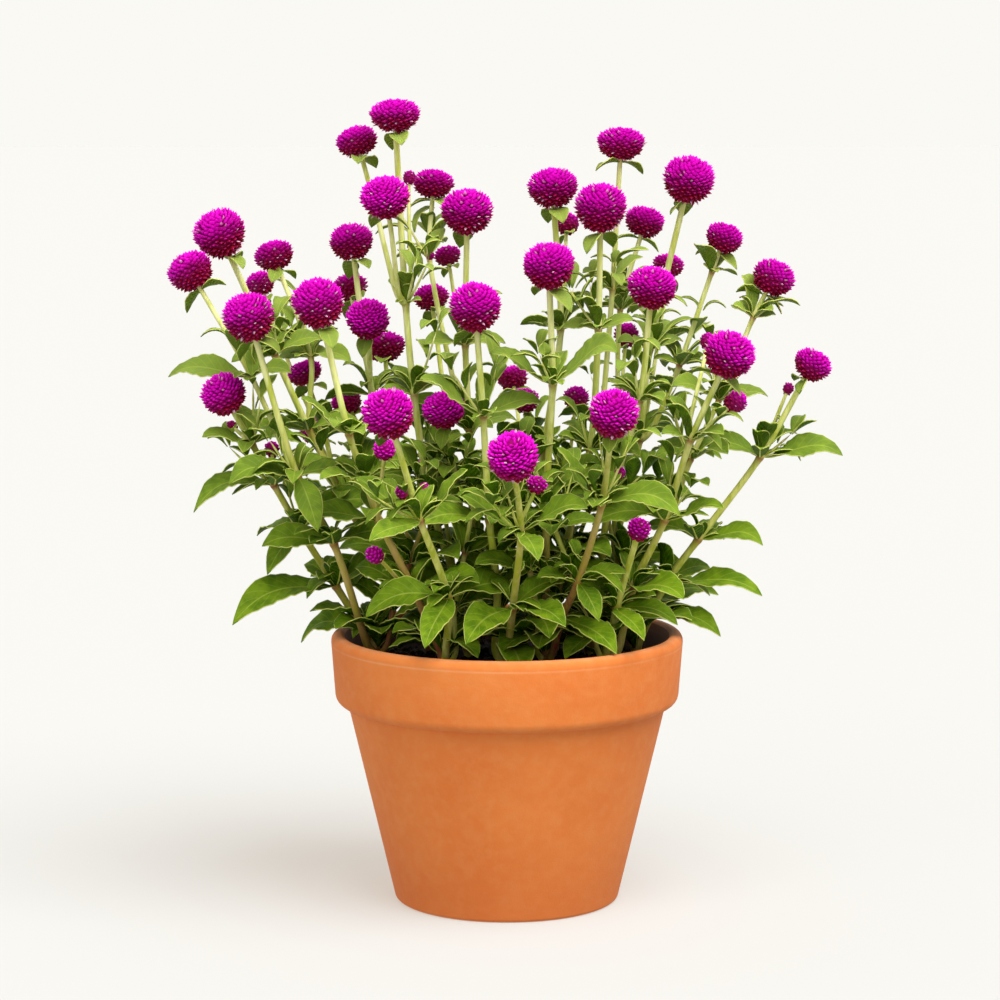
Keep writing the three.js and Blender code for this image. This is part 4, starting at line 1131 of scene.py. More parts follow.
def stem_radii(shoot, line, joint_rows):
    """Radius at each place of the line, swollen at the joints and, on a side shoot, where it leaves its joint;
    and how near each place is to a joint."""
    gaps = np.sqrt((np.diff(line, axis=0) ** 2).sum(axis=1))
    run = np.concatenate([[0], np.cumsum(gaps)])
    radii = mix(shoot.low, shoot.high, run / run[-1])
    if shoot.parent is None:
        radii += (FOOT_RADIUS - shoot.low) * np.exp(-run / FOOT_TAPER)
    else:
        radii += ELBOW_SWELLING * shoot.low * np.exp(-((run / ELBOW_TAPER) ** 2))
    near = np.zeros(len(line))
    for row in joint_rows:
        near = np.maximum(near, np.exp(-(((run - run[row]) / SWELLING_REACH) ** 2)))
    radii = radii * (1 + STEM_SWELLING * near)
    radii[0] = 0
    radii[-1] = NECK * radii[-2]
    return radii, near


def add_stem(bm, shoot, random):
    """The stem of a shoot, with a cup under its head and a closed end."""
    line, joint_rows = stem_line(shoot)
    radii, near = stem_radii(shoot, line, joint_rows)
    ends = [(HEAD_CUP, HEAD_CUP_SPREAD * radii[-1])] if shoot.entry else []
    for reach, radius in ends + [(STEM_END, 0)]:
        radii = np.append(radii, radius)
        line = np.vstack([line, line[-1] + shoot.axis * reach])
        near = np.append(near, 0)
    verts, row = add_rod(bm, line, radii, STEM_SIDES)
    low_down = np.clip((REDDISH_TO - line[:, 2]) / (REDDISH_TO - SOIL_TOP), 0, 1)
    redness = low_down * mix(*STEM_REDNESS, random() ** 1.2) + near * mix(*JOINT_REDNESS, random())
    set_values(bm, verts, np.clip(redness, 0, 1)[row], "redness")
    close_seams(bm, verts)


def add_rib(bm, blade, reach, radius):
    """Stalk and rib of a leaf, thick at the stem and thin towards the tip."""
    shares = np.linspace(0, reach, RIB_ROWS)
    middle, _, normal = blade.frames(shares)
    radii = radius * (1 - RIB_TAPER * np.linspace(0, 1, RIB_ROWS) ** 0.7)
    sink = np.clip(shares / RIB_SUNK_FROM, 0, 1) * radii * RIB_SUNK
    radii[0] = 0
    radii[-1] = 0
    verts, _ = add_rod(bm, middle - normal * sink[:, None], radii, RIB_SIDES)
    set_values(bm, verts, RIB_REDNESS, "redness")
    close_seams(bm, verts)


def edge_wave(blade, shares, first_stop, spacing):
    """The waved edge, up on one side where it is down on the other."""
    random = seeded_random(blade.seed * 131 + 17)
    first = 1 if random() < 0.5 else -1
    wave = first * LEAF_WAVE * blade.width * np.cos(math.pi * (shares - first_stop) / spacing)
    return wave * np.clip(shares / WAVE_FROM, 0, 1) * np.clip((1 - shares) / WAVE_OUT, 0, 1)


def add_leaf(bm, blade, rows, columns, stops, random):
    """A leaf or bract on its blade's line: folded along the rib, with waved and finely rippled edges. The
    stops are where along it the first wave stands, and how far apart its waves are."""
    verts, column, row = add_sheet(bm, columns, rows)
    shares = np.linspace(0, 1, rows + 1)
    middle, side, normal = blade.frames(shares)
    stalk = STALK_HALF_WIDTH * np.clip((STALK_TO - shares) / STALK_FADE, 0, 1)
    half = np.maximum(0.5 * blade.width * np.sin(math.pi * shares**LEAF_FULLNESS) ** LEAF_ROUNDNESS, stalk)
    half[-1] = 0
    half[0] = STALK_END
    ripple_turn = 2 * math.pi * random()
    ripples = mix(*RIPPLES, random())
    ripple = RIPPLE * blade.width * np.sin(2 * math.pi * ripples * shares + ripple_turn)
    ripple *= np.sin(math.pi * shares)
    wave = edge_wave(blade, shares, *stops)
    spread = 2 * column / columns - 1
    edge = np.abs(spread)
    jag = 1 + EDGE_JAG * edge**4 * np.sin(2 * math.pi * JAGS * ripples * shares[row] + 2.1 * spread)
    out = half[row] * spread * jag
    lift = LEAF_FOLD * half[row] * edge**1.25 - wave[row] * spread * edge
    lift += ripple[row] * edge**3 * np.where(spread > 0, 1, -0.8)
    put(verts, middle[row] + side[row] * out[:, None] + normal[row] * lift[:, None])
    set_values(bm, verts, random(), "shade")
    # Leaves higher up get a paler, yellower green: partly young leaves' own colour, partly painted light where
    # the top of the plant is less shaded.
    set_values(bm, verts, smooth_step((blade.root[2] - LEAFY_FROM) / YOUTH_AND_TOP_LIGHT_SPAN), "youth_and_top_light")
    close_seams(bm, [vert for vert, place in zip(verts, row) if place == rows])


def add_small_leaf(bm, blade, heads, random):
    """A little leaf, where it stays clear of the heads."""
    if leaves_heads_free(blade.root, blade.tip, heads):
        add_leaf(bm, blade, AXIL_LEAF_ROWS, AXIL_LEAF_COLUMNS, AXIL_LEAF_STOPS, random)


def seen_from_front(point):
    """Where the front view shows a point, on its middle plane."""
    nearness = EYE_DISTANCE / (EYE_DISTANCE + point[1])
    return point[0] * nearness, EYE_HEIGHT + (point[2] - EYE_HEIGHT) * nearness


def leaves_heads_free(root, tip, heads):
    """Whether a small leaf or twig, given by its ends, stays out of every head and doesn't hide one."""
    for head in heads:
        for share in (0.5, 1):
            point = mix(root, tip, share)
            if math.dist(point, head.centre) < 0.5 * max(head.width, head.height) + HEAD_CLEARANCE:
                return False
            apart = math.dist(seen_from_front(point), seen_from_front(head.centre))
            if point[1] < head.centre[1] and apart < HEAD_IN_SIGHT * head.width:
                return False
    return True


def build_leafy_stem(stem, heads):
    """The stems, leaves and bracts of a leafy stem. Gives the tips of twigs that end in a young head."""
    random = seeded_random(stem.seed + FINE_SEED)
    stems = new_bmesh("redness")
    leaves = new_bmesh("shade", "youth_and_top_light")
    bracts = new_bmesh("shade", "youth_and_top_light")
    tips = []
    for blade in basal_leaves(stem, random):
        add_leaf(leaves, blade, SMALL_LEAF_ROWS, LEAF_COLUMNS, BASAL_LEAF_STOPS, random)
    for shoot in stem.shoots:
        add_stem(stems, shoot, random)
        for k in twig_joints(shoot, random):
            twig = twig_at(shoot, k, random)
            if leaves_heads_free(twig.foot, twig.tip, heads):
                tips.append(add_twig(stems, leaves, twig, heads, random))
        for bract in shoot.bracts:
            bract.width *= BRACT_FULLNESS
            add_leaf(bracts, bract, BRACT_ROWS, BRACT_COLUMNS, BRACT_STOPS, random)
        for blade in small_leaves(shoot, random):
            add_small_leaf(leaves, blade, heads, random)
    for blade in stem.blades():
        is_large = blade.length > LARGE_LEAF
        rows = LARGE_LEAF_ROWS if is_large else SMALL_LEAF_ROWS
        stops = LARGE_LEAF_STOPS if is_large else SMALL_LEAF_STOPS
        add_leaf(leaves, blade, rows, LEAF_COLUMNS, stops, random)
        add_rib(stems, blade, RIB_REACH, mix(*RIB_RADIUS, min(1, blade.length / LONG_LEAF)))
    finish_piece(stems, f"stems_{stem.place_name}", [stem.name], [STEM_GREEN])
    for bm, name in ((leaves, "leaves"), (bracts, "bracts")):
        piece = finish_piece(bm, f"{name}_{stem.place_name}", [stem.name], [LEAF_TOP, LEAF_UNDER])
        skin = piece.modifiers.new("thickness", "SOLIDIFY")
        skin.thickness = LEAF_THICKNESS * MM
        skin.offset = 0
        skin.material_offset = 1
        skin.material_offset_rim = 1
    return [tip for tip in tips if random() < BUD_SHARE]


def basal_leaves(stem, random):
    """Broad leaves low round the foot of a leafy stem, over the soil; the outer ones pass over the rim."""
    foot = stem.shoots[0].joints[0].point
    blades = []
    for k in range(BASAL_LEAVES):
        azimuth = (k + BASAL_DRIFT * random()) * 360 / BASAL_LEAVES + stem.seed * 37
        heading = heading_of(azimuth)
        length = mix(*BASAL_LENGTH, random())
        base = foot + heading * BASAL_OUT + UP * mix(*BASAL_HEIGHT, random())
        tip = base + heading * length * BASAL_REACH + UP * length * mix(*BASAL_CLIMB, random())
        if math.hypot(tip[0], tip[1]) > POT_RIM_RADIUS - BASAL_RIM_ZONE:
            tip[2] = max(tip[2], POT_HEIGHT + mix(*BASAL_OVER_RIM, random()))
            base[2] = max(base[2], SOIL_TOP + BASAL_ROOT_AT_RIM)
        tip[2] = max(tip[2], SOIL_TOP + SOIL_CLEAR)
        width = length * BASAL_SLENDERNESS
        blades.append(Blade(base, tip, UP, width, length * LEAF_RISE, 0, int(1000 * random())))
    return blades


def twig_joints(shoot, random):
    """The joints, above the lower leaves, where twigs grow, once for each twig."""
    high = [k for k, joint in enumerate(shoot.joints) if joint.point[2] > TWIGS_FROM]
    return [k for k in high for _ in range(TWIGS_PER_JOINT) if random() < TWIG_SHARE]


def twig_at(shoot, k, random):
    """Where a short side twig runs from a joint."""
    joint = shoot.joints[k]
    along = shoot.along_at(k)
    azimuth = joint.azimuth + 45 + 90 * int(4 * random()) + mix(*TWIG_TURN, random())
    outward = square_to(along, heading_of(azimuth))
    lean = math.radians(mix(*TWIG_LEAN, random()))
    way = outward * math.sin(lean) + along * math.cos(lean)
    length = mix(*TWIG_LENGTH, random())
    foot = joint.point + outward * TWIG_OUT
    tip = foot + way * length + UP * TWIG_CLIMB * length
    return types.SimpleNamespace(foot=foot, control=foot + way * 0.5 * length, tip=tip, azimuth=azimuth)


def add_twig(stems, leaves, twig, heads, random):
    """The twig's stem, with a pair of small leaves on its way and one at its tip."""
    line = bend(twig.foot, twig.control, twig.tip, TWIG_STEPS)
    radii = np.linspace(*TWIG_RADII, len(line))
    radii[[0, -1]] = 0
    verts, _ = add_rod(stems, line, radii, RIB_SIDES)
    set_values(stems, verts, TWIG_REDNESS * random(), "redness")
    close_seams(stems, verts)
    end = unit(line[-1] - line[-2])
    for place_on, turns in ((line[3], (0, 180)), (line[-1], (90, 270))):
        for turn in turns:
            leaf_turn = twig.azimuth + turn + mix(*TWIG_TURN, random())
            blade = upright_leaf(place_on, end, leaf_turn, mix(*TWIG_LEAF, random()), random)
            add_small_leaf(leaves, blade, heads, random)
    return twig.tip, end


def small_leaves(shoot, random):
    """Little leaves that stand up in the joints and at the tip of a young shoot."""
    blades = []
    for k, joint in enumerate(shoot.joints):
        if k == 0 and shoot.parent is None:
            continue
        along = shoot.along_at(k)
        for turn in AXIL_TURNS:
            azimuth = joint.azimuth + turn + mix(*AXIL_TURN, random())
            length = AXIL_LEAF * mix(*AXIL_VARIETY, random())
            blades.append(upright_leaf(joint.point, along, azimuth, length, random))
    if not shoot.entry:
        for turn in TIP_TURNS:
            azimuth = turn + mix(*TWIG_TURN, random())
            length = TIP_LEAF * mix(*TIP_VARIETY, random())
            blades.append(upright_leaf(shoot.top, shoot.axis, azimuth, length, random))
    return blades


def upright_leaf(root, along, azimuth, length, random):
    """A little leaf that leans out from a joint or tip."""
    outward = square_to(along, heading_of(azimuth))
    lean = math.radians(mix(*AXIL_LEAN, random()))
    base = root + outward * AXIL_OUT
    tip = base + (outward * math.sin(lean) + along * math.cos(lean)) * length
    rise = length * mix(*AXIL_RISE, random())
    return Blade(base, tip, along, length * AXIL_SLENDERNESS, rise, 0, int(1000 * random()))


# Globe heads


def new_head_bmesh():
    """An empty mesh for scales with the values their colour follows; level carries painted light above, shade
    below.
    """
    bm = bmesh.new()
    for name in ("rise", "shade", "pale", "level"):
        bm.verts.layers.float.new(name)
    return bm


def floret_mesh():
    """One keeled scale, 1 long from its root at 0 to its tip, widest past its middle and bent to its back."""
    bm = new_head_bmesh()
    rise = bm.verts.layers.float["rise"]
    upright = Matrix.Translation((0, 0, 0.5))
    bmesh.ops.create_cone(bm, cap_ends=False, segments=4, radius1=1, radius2=1, depth=1, matrix=upright)
    slopes = [edge for edge in bm.edges if edge.verts[0].co.z != edge.verts[1].co.z]
    bmesh.ops.subdivide_edges(bm, edges=slopes, cuts=2)
    for vert in bm.verts:
        height, across = FLORET_OUTLINE[round(vert.co.z * 3)]
        over = vert.co.y * across * FLORET_FLATNESS + FLORET_BEND * height * height
        vert.co = (vert.co.x * across, over, height)
        vert[rise] = height
    bmesh.ops.remove_doubles(bm, verts=bm.verts, dist=1e-4)
    bmesh.ops.recalc_face_normals(bm, faces=bm.faces)
    mesh = bpy.data.meshes.new("floret")
    bm.to_mesh(mesh)
    bm.free()
    return mesh


def add_florets(bm, floret, count, random, stretch):
    """Florets on a spiral over a globe of radius 1 stretched to the head's, each pointing out and up."""
    for k in range(count):
        level = mix(*FLORET_LEVELS, (k + 0.5) / count)
        around = math.sqrt(1 - level * level)
        angle = k * GOLDEN_ANGLE + mix(-FLORET_DRIFT, FLORET_DRIFT, random()) / max(around, 0.2)
        level += mix(-FLORET_DRIFT, FLORET_DRIFT, random()) * around
        out = Vector((around * math.cos(angle), around * math.sin(angle), level))
        normal = Vector((out.x / stretch.x, out.y / stretch.y, out.z / stretch.z)).normalized()
        skin = Vector(a * b for a, b in zip(out, stretch))
        root = skin * FLORET_ROOT
        tip = skin * mix(*FLORET_TIP, random())
        tip.z += FLORET_UPTURN * (1 - abs(level)) * stretch.z
        speck = random() < PALE_SHARE
        way = tip - root
        length = way.length * (SPECK_LENGTH if speck else 1)
        back = Vector((0, 0, 1)) if abs(normal.z) < 0.95 else Vector((math.cos(angle), math.sin(angle), 0))
        aim = way.normalized()
        side = back.cross(aim).normalized()
        over = aim.cross(side)
        turn = Matrix((side, over, aim)).transposed().to_4x4()
        turn = turn @ Matrix.Rotation(mix(-FLORET_TURN, FLORET_TURN, random()), 4, "Z")
        share = min(1, mix(0.5, 1, stretch.x / (LARGE_HEAD_RADIUS * MM)))
        broad = FLORET_WIDTH * MM * share * (SPECK_WIDTH if speck else 1)
        size = Matrix.Diagonal((broad, broad, length, 1))
        start = len(bm.verts)
        bm.from_mesh(floret)
        bm.verts.ensure_lookup_table()
        fresh = bm.verts[start:]
        bmesh.ops.transform(bm, matrix=Matrix.Translation(root) @ turn @ size, verts=fresh)
        set_values(bm, fresh, random(), "shade")
        set_values(bm, fresh, float(speck), "pale")
        # The floret's height on the head, from which the material paints light on top and shade below.
        set_values(bm, fresh, level, "level")


def build_twig_buds(stem, tips, floret):
    """Small young heads at the tips of twigs."""
    for k, (tip, axis) in enumerate(tips):
        width = mix(*TWIG_BUD, (k * 0.618) % 1)
        bud = types.SimpleNamespace(width=width, height=width * BUD_HEIGHT, axis=axis, mark=stem.seed + k)
        bud.centre = tip + axis * TWIG_BUD_SEAT * width
        build_head(bud, f"twig_bud_{stem.place_name}_{k + 1}", stem.name, floret)


def build_head(shoot, name, node, floret):
    """A globe of florets round a core painted dark as the shade between them, its seat towards its stem."""
    random = seeded_random(shoot.mark)
    bm = new_head_bmesh()
    stretch = Vector((0.5 * shoot.width, 0.5 * shoot.width, 0.5 * shoot.height)) * MM
    count = round(FLORETS_PER_AREA * shoot.width * (shoot.width + shoot.height) / 2)
    add_florets(bm, floret, count, random, stretch)
    squash = Matrix.Diagonal((*stretch, 1))
    bmesh.ops.create_uvsphere(bm, u_segments=16, v_segments=10, radius=HEAD_CORE, matrix=squash)
    axis = Vector(shoot.axis)
    turn = Vector((0, 0, 1)).rotation_difference(axis).to_matrix().to_4x4()
    bmesh.ops.transform(bm, matrix=Matrix.Translation(Vector(shoot.centre) * MM) @ turn, verts=bm.verts)
    return finish_piece(bm, name, [node], [MAGENTA], smooth=False)


# Pot and soil


def pot_profile():
    """Outline of the wall, from the drain hole round the outside and the lip to the floor inside, and how far
    each corner is rounded."""
    return [
        ((DRAIN_RADIUS, 0), 0),
        ((POT_FOOT_RADIUS, 0), 2.2),
        ((BODY_TOP_RADIUS, BAND_BOTTOM), 0.7),
        ((BAND_BOTTOM_RADIUS, BAND_BOTTOM), 5),
        ((POT_RIM_RADIUS, POT_HEIGHT), 4.2),
        ((INNER_RIM_RADIUS, POT_HEIGHT), 2.2),
        ((INNER_BAND_RADIUS, BAND_BOTTOM), 4),
        ((INNER_FOOT_RADIUS, POT_FLOOR), 6),
        ((DRAIN_RADIUS, POT_FLOOR), 0),
    ]


def spin_profile(bm, profile, steps):
    """Turns an outline round the upright axis."""
    verts = [bm.verts.new((out * MM, 0, height * MM)) for out, height in profile]
    edges = [bm.edges.new(pair) for pair in zip(verts, verts[1:])]
    bmesh.ops.spin(
        bm,
        geom=verts + edges,
        cent=(0, 0, 0),
        axis=(0, 0, 1),
        angle=2 * math.pi,
        steps=steps,
        use_merge=True,
    )
    bmesh.ops.remove_doubles(bm, verts=bm.verts, dist=MERGE_DISTANCE)


def ring_edges(bm, out, height):
    """The ring of edges at one corner of a spun outline."""
    found = []
    for edge in bm.edges:
        near = [
            abs(math.hypot(vert.co.x, vert.co.y) - out * MM) < 1e-5 and abs(vert.co.z - height * MM) < 1e-5
            for vert in edge.verts
        ]
        if all(near):
            found.append(edge)
    return found


def inner_radius(height):
    """Radius of the pot's inner wall at a height."""
    if height < BAND_BOTTOM:
        share = max(0, height - POT_FLOOR) / (BAND_BOTTOM - POT_FLOOR)
        return mix(INNER_FOOT_RADIUS, INNER_BAND_RADIUS, share)
    share = (height - BAND_BOTTOM) / (POT_HEIGHT - BAND_BOTTOM)
    return mix(INNER_BAND_RADIUS, INNER_RIM_RADIUS, share)


def build_pot():
    bm = bmesh.new()
    inside = bm.verts.layers.float.new("inside")
    profile = pot_profile()
    corners = [corner for corner, _ in profile]
    spin_profile(bm, corners + [corners[0]], POT_STEPS)
    for corner, radius in profile[1:-1]:
        bmesh.ops.bevel(
            bm,
            geom=ring_edges(bm, *corner),
            offset=radius * MM,
            offset_type="OFFSET",
            segments=ROUNDING_STEPS,
            profile=0.5,
            affect="EDGES",
            material=-1,
        )
    bmesh.ops.remove_doubles(bm, verts=bm.verts, dist=MERGE_DISTANCE)
    bmesh.ops.recalc_face_normals(bm, faces=bm.faces)
    for vert in bm.verts:
        out = math.hypot(vert.co.x, vert.co.y) / MM
        height = vert.co.z / MM
        is_between = FOOT_EDGE < height < POT_HEIGHT - LIP_EDGE
        vert[inside] = float(is_between and out < inner_radius(height) + 1)
        away = Vector((vert.co.x, vert.co.y, 0)).normalized()
        vert.co += away * POT_UNEVENNESS * MM * noise.noise(vert.co * POT_WAVINESS)
    return finish_piece(bm, "terracotta_pot", ["pot"], [TERRACOTTA])


def soil_height(x, y):
    across, deep = SOIL_WAVES
    return SOIL_TOP + SOIL_RELIEF * math.sin(x / across + 0.6) * math.cos(y / deep - 0.4)


def build_soil():
    rise = (SOIL_TOP - BAND_BOTTOM) / (POT_HEIGHT - INNER_LIP_DROP - BAND_BOTTOM)
    wall = mix(INNER_BAND_RADIUS, INNER_RIM_RADIUS - INNER_LIP_SLOPE, rise) - 2 * SOIL_GAP
    bm = bmesh.new()
    top = [(wall * k / SOIL_RINGS, SOIL_TOP) for k in range(1, SOIL_RINGS + 1)]
    band = (INNER_BAND_RADIUS - 2 * SOIL_GAP, BAND_BOTTOM)
    foot = (INNER_FOOT_RADIUS - 2 * SOIL_GAP, POT_FLOOR + SOIL_GAP)
    spin_profile(bm, [(0, SOIL_TOP)] + top + [band, foot, (0, POT_FLOOR + SOIL_GAP)], SOIL_STEPS)
    bmesh.ops.recalc_face_normals(bm, faces=bm.faces)
    for vert in bm.verts:
        x, y, z = (value / MM for value in vert.co)
        if z > SOIL_TOP - 0.01 and math.hypot(x, y) < wall - 1:
            lumps = noise.fractal(Vector((x, y, 0)) * LUMP_CLOSENESS, 0.8, 2.1, 4)
            vert.co.z = (soil_height(x, y) + LUMP_HEIGHT * lumps) * MM
    add_crumbs(bm, wall)
    return finish_piece(bm, "potting_soil", ["soil"], [SOIL], smooth=False)


def add_crumbs(bm, wall):
    """Loose crumbs over the face of the soil."""
    random = seeded_random(CRUMB_SEED)
    for _ in range(CRUMBS):
        out = (wall - 2) * math.sqrt(random())
        angle = 2 * math.pi * random()
        x, y = out * math.cos(angle), out * math.sin(angle)
        size = mix(*CRUMB_SIZE, random() ** 2)
        spot = Vector((x, y, soil_height(x, y) + CRUMB_LIFT * size)) * MM
        turn = Matrix.Rotation(2 * math.pi * random(), 4, Vector((random(), random(), 1)).normalized())
        squash = Matrix.Diagonal((1, mix(0.6, 1, random()), mix(0.5, 0.9, random()), 1))
        matrix = Matrix.Translation(spot) @ turn @ squash
        bmesh.ops.create_icosphere(bm, subdivisions=1, radius=size * MM, matrix=matrix)


# Materials


class Shade:
    """A material with its shader, and short ways to add the nodes that feed it."""

    def __init__(self, name):
        self.material = bpy.data.materials.new(name)
        self.material.use_nodes = True
        self.tree = self.material.node_tree
        self.shader = self.tree.nodes["Principled BSDF"]

    def feed(self, socket, value):
        if isinstance(value, bpy.types.NodeSocket):
            self.tree.links.new(value, socket)
        else:
            socket.default_value = value

    def add(self, kind, output, fed, **settings):
        """A new node with its settings and what feeds it. Gives one of its outputs."""
        node = self.tree.nodes.new(f"ShaderNode{kind}")
        for name, setting in settings.items():
            setattr(node, name, setting)
        for name, value in fed.items():
            self.feed(node.inputs[name], value)
        return node.outputs[output]

    def place(self):
        """Object coordinates in metres."""
        return self.add("TexCoord", "Object", {})

    def value(self, name):
        """A value that the piece's points carry."""
        return self.add("Attribute", "Fac", {}, attribute_name=name)

    def noise(self, scale, detail=3, roughness=0.5, stretch=None):
        place = self.place()
        if stretch:
            place = self.add("Mapping", "Vector", {"Vector": place, "Scale": stretch})
        fed = {"Vector": place, "Scale": scale, "Detail": detail, "Roughness": roughness}
        return self.add("TexNoise", "Fac", fed)

    def math(self, operation, *values):
        return self.add("Math", "Value", dict(enumerate(values)), operation=operation)

    def span(self, value, low, high, to_low=0.0, to_high=1.0):
        """The value's place between low and high, smoothly, held at both ends."""
        fed = {"Value": value, "From Min": low, "From Max": high, "To Min": to_low, "To Max": to_high}
        return self.add("MapRange", "Result", fed, interpolation_type="SMOOTHSTEP")

    def blend(self, share, first, second):
        """Two colours blended by a share."""
        return self.add("Mix", 2, {"Factor": share, 6: first, 7: second}, data_type="RGBA")

    def bump(self, height, distance, strength, after=None):
        fed = {"Height": height, "Distance": distance, "Strength": strength}
        if after:
            fed["Normal"] = after
        return self.add("Bump", "Normal", fed)

    def part(self, vector, axis):
        return self.add("SeparateXYZ", axis, {"Vector": vector})

    def set(self, **sockets):
        for name, value in sockets.items():
            self.feed(self.shader.inputs[name.replace("_", " ")], value)
        return self.material


def rgb(red, green, blue):
    """A colour given as it shows on a screen, 0 to 255."""
    return tuple(screen_to_light(value / 255) for value in (red, green, blue)) + (1.0,)


def screen_to_light(value):
    return value / 12.92 if value <= 0.04045 else ((value + 0.055) / 1.055) ** 2.4


def leaf_pattern(shade):
    """How far out from the rib, and how near to a side vein, each place of a leaf lies."""
    sheet = shade.add("UVMap", "UV", {}, uv_map="along")
    edge = shade.math("ABSOLUTE", shade.math("MULTIPLY_ADD", shade.part(sheet, "X"), 2.0, -1.0))
    run = shade.math("MULTIPLY", shade.part(sheet, "Y"), SIDE_VEINS)
    run = shade.math("SUBTRACT", run, shade.math("MULTIPLY", edge, VEIN_SLANT))
    vein = shade.math("ABSOLUTE", shade.math("SUBTRACT", shade.math("FRACT", run), 0.5))
    return edge, vein


def leaf_material(name, low_green, high_green, young_and_top_lit_green, vein_colour, edge_colour, under):
    shade = Shade(name)
    edge, vein = leaf_pattern(shade)
    mottle = shade.noise(140, 4, 0.6)
    green = shade.blend(shade.span(mottle, 0.35, 0.68), low_green, high_green)
    green = shade.blend(shade.math("MULTIPLY", shade.value("shade"), 0.35), green, high_green)
    # Partly young leaves' own paler green, partly painted light on the top of the plant.
    green = shade.blend(shade.math("MULTIPLY", shade.value("youth_and_top_light"), 0.85), green, young_and_top_lit_green)
    vein_line = shade.span(vein, 0.0, 0.10, 1.0, 0.0)
    vein_line = shade.math("MULTIPLY", vein_line, shade.span(edge, 0.75, 0.95, 0.26, 0.0))
    rib_line = shade.span(edge, 0.02, 0.08, 0.55, 0.0)
    green = shade.blend(shade.math("MAXIMUM", vein_line, rib_line), green, vein_colour)
    green = shade.blend(shade.span(edge, 0.95, 1.0, 0.0, 0.9), green, edge_colour)
    quilt = shade.math("MULTIPLY", shade.span(vein, 0.0, 0.5), shade.span(edge, 0.1, 0.4, 0.3, 1.0))
    relief = shade.bump(quilt, 0.6 * MM, -0.8 if under else 0.8)
    relief = shade.bump(shade.noise(1500, 3, 0.6), 0.15 * MM, 0.5, relief)
    return shade.set(
        Base_Color=green,
        Roughness=0.62 if under else 0.55,
        Normal=relief,
        Specular_IOR_Level=0.1,
        Subsurface_Weight=0.3,
        Subsurface_Radius=(0.6, 1.0, 0.08),
        Subsurface_Scale=MM,
    )


def leaf_top_material():
    # The third green, for leaves high on the plant, is partly their own young colour and partly painted light.
    low, high, young = rgb(28, 64, 0), rgb(92, 134, 2), rgb(132, 156, 54)
    return leaf_material("leaf_top", low, high, young, rgb(112, 146, 14), rgb(220, 230, 120), False)


def leaf_under_material():
    # The third green, for leaves high on the plant, is partly their own young colour and partly painted light.
    low, high, young = rgb(84, 118, 12), rgb(124, 154, 26), rgb(154, 174, 80)
    return leaf_material("leaf_under", low, high, young, rgb(176, 192, 80), rgb(216, 224, 120), True)


def stem_material():
    shade = Shade("stem_green")
    streak = shade.noise(260, 3, 0.6, (1, 1, 0.12))
    green = shade.blend(shade.span(streak, 0.35, 0.7), rgb(190, 204, 56), rgb(242, 246, 136))
    # Stems are paler higher up: partly their own colour, partly painted light where the top of the plant is
    # less shaded.
    pale = shade.blend(shade.span(streak, 0.3, 0.65), rgb(206, 214, 96), rgb(249, 251, 176))
    height = shade.part(shade.place(), "Z")
    green = shade.blend(shade.span(height, PALE_FROM * MM, PALE_TO * MM), green, pale)
    redness = shade.math("MULTIPLY", shade.value("redness"), shade.span(streak, 0.2, 0.7, 0.55, 1.0))
    colour = shade.blend(redness, green, rgb(158, 82, 54))
    relief = shade.bump(shade.noise(900, 3, 0.6, (1, 1, 0.2)), 0.2 * MM, 0.6)
    return shade.set(
        Base_Color=colour,
        Roughness=0.6,
        Normal=relief,
        Specular_IOR_Level=0.2,
        Sheen_Weight=0.12,
        Sheen_Roughness=0.4,
        Sheen_Tint=rgb(240, 244, 220),
        Subsurface_Weight=0.1,
        Subsurface_Radius=(0.8, 1.0, 0.3),
        Subsurface_Scale=MM,
    )


def magenta_material():
    shade = Shade("magenta_florets")
    rise = shade.value("rise")
    own = shade.math("MULTIPLY", shade.value("shade"), 0.3)
    # Painted light: florets high on the head are painted bright magenta and low ones dark crimson, as light
    # from above falls.
    high = shade.span(shade.math("ADD", shade.value("level"), own), -0.45, 0.6)
    body = shade.blend(high, rgb(150, 0, 34), rgb(244, 0, 220))
    # Painted shade: the roots of the florets, and the core under them where rise is 0, are darkened as the
    # recesses between florets.
    deep = shade.blend(shade.span(rise, 0.5, 0.9, 0.7, 0.0), body, rgb(104, 0, 40))
    tip = shade.blend(shade.span(rise, 0.84, 1.0, 0.0, 0.4), deep, rgb(246, 70, 226))
    speck = shade.math("MULTIPLY", shade.value("pale"), shade.span(rise, 0.55, 0.8))
    colour = shade.blend(speck, tip, rgb(250, 190, 225))
    return shade.set(
        Base_Color=colour,
        Roughness=0.65,
        Specular_IOR_Level=0.12,
        Subsurface_Weight=0.1,
        Subsurface_Radius=(1.0, 0.2, 0.7),
        Subsurface_Scale=MM,
    )


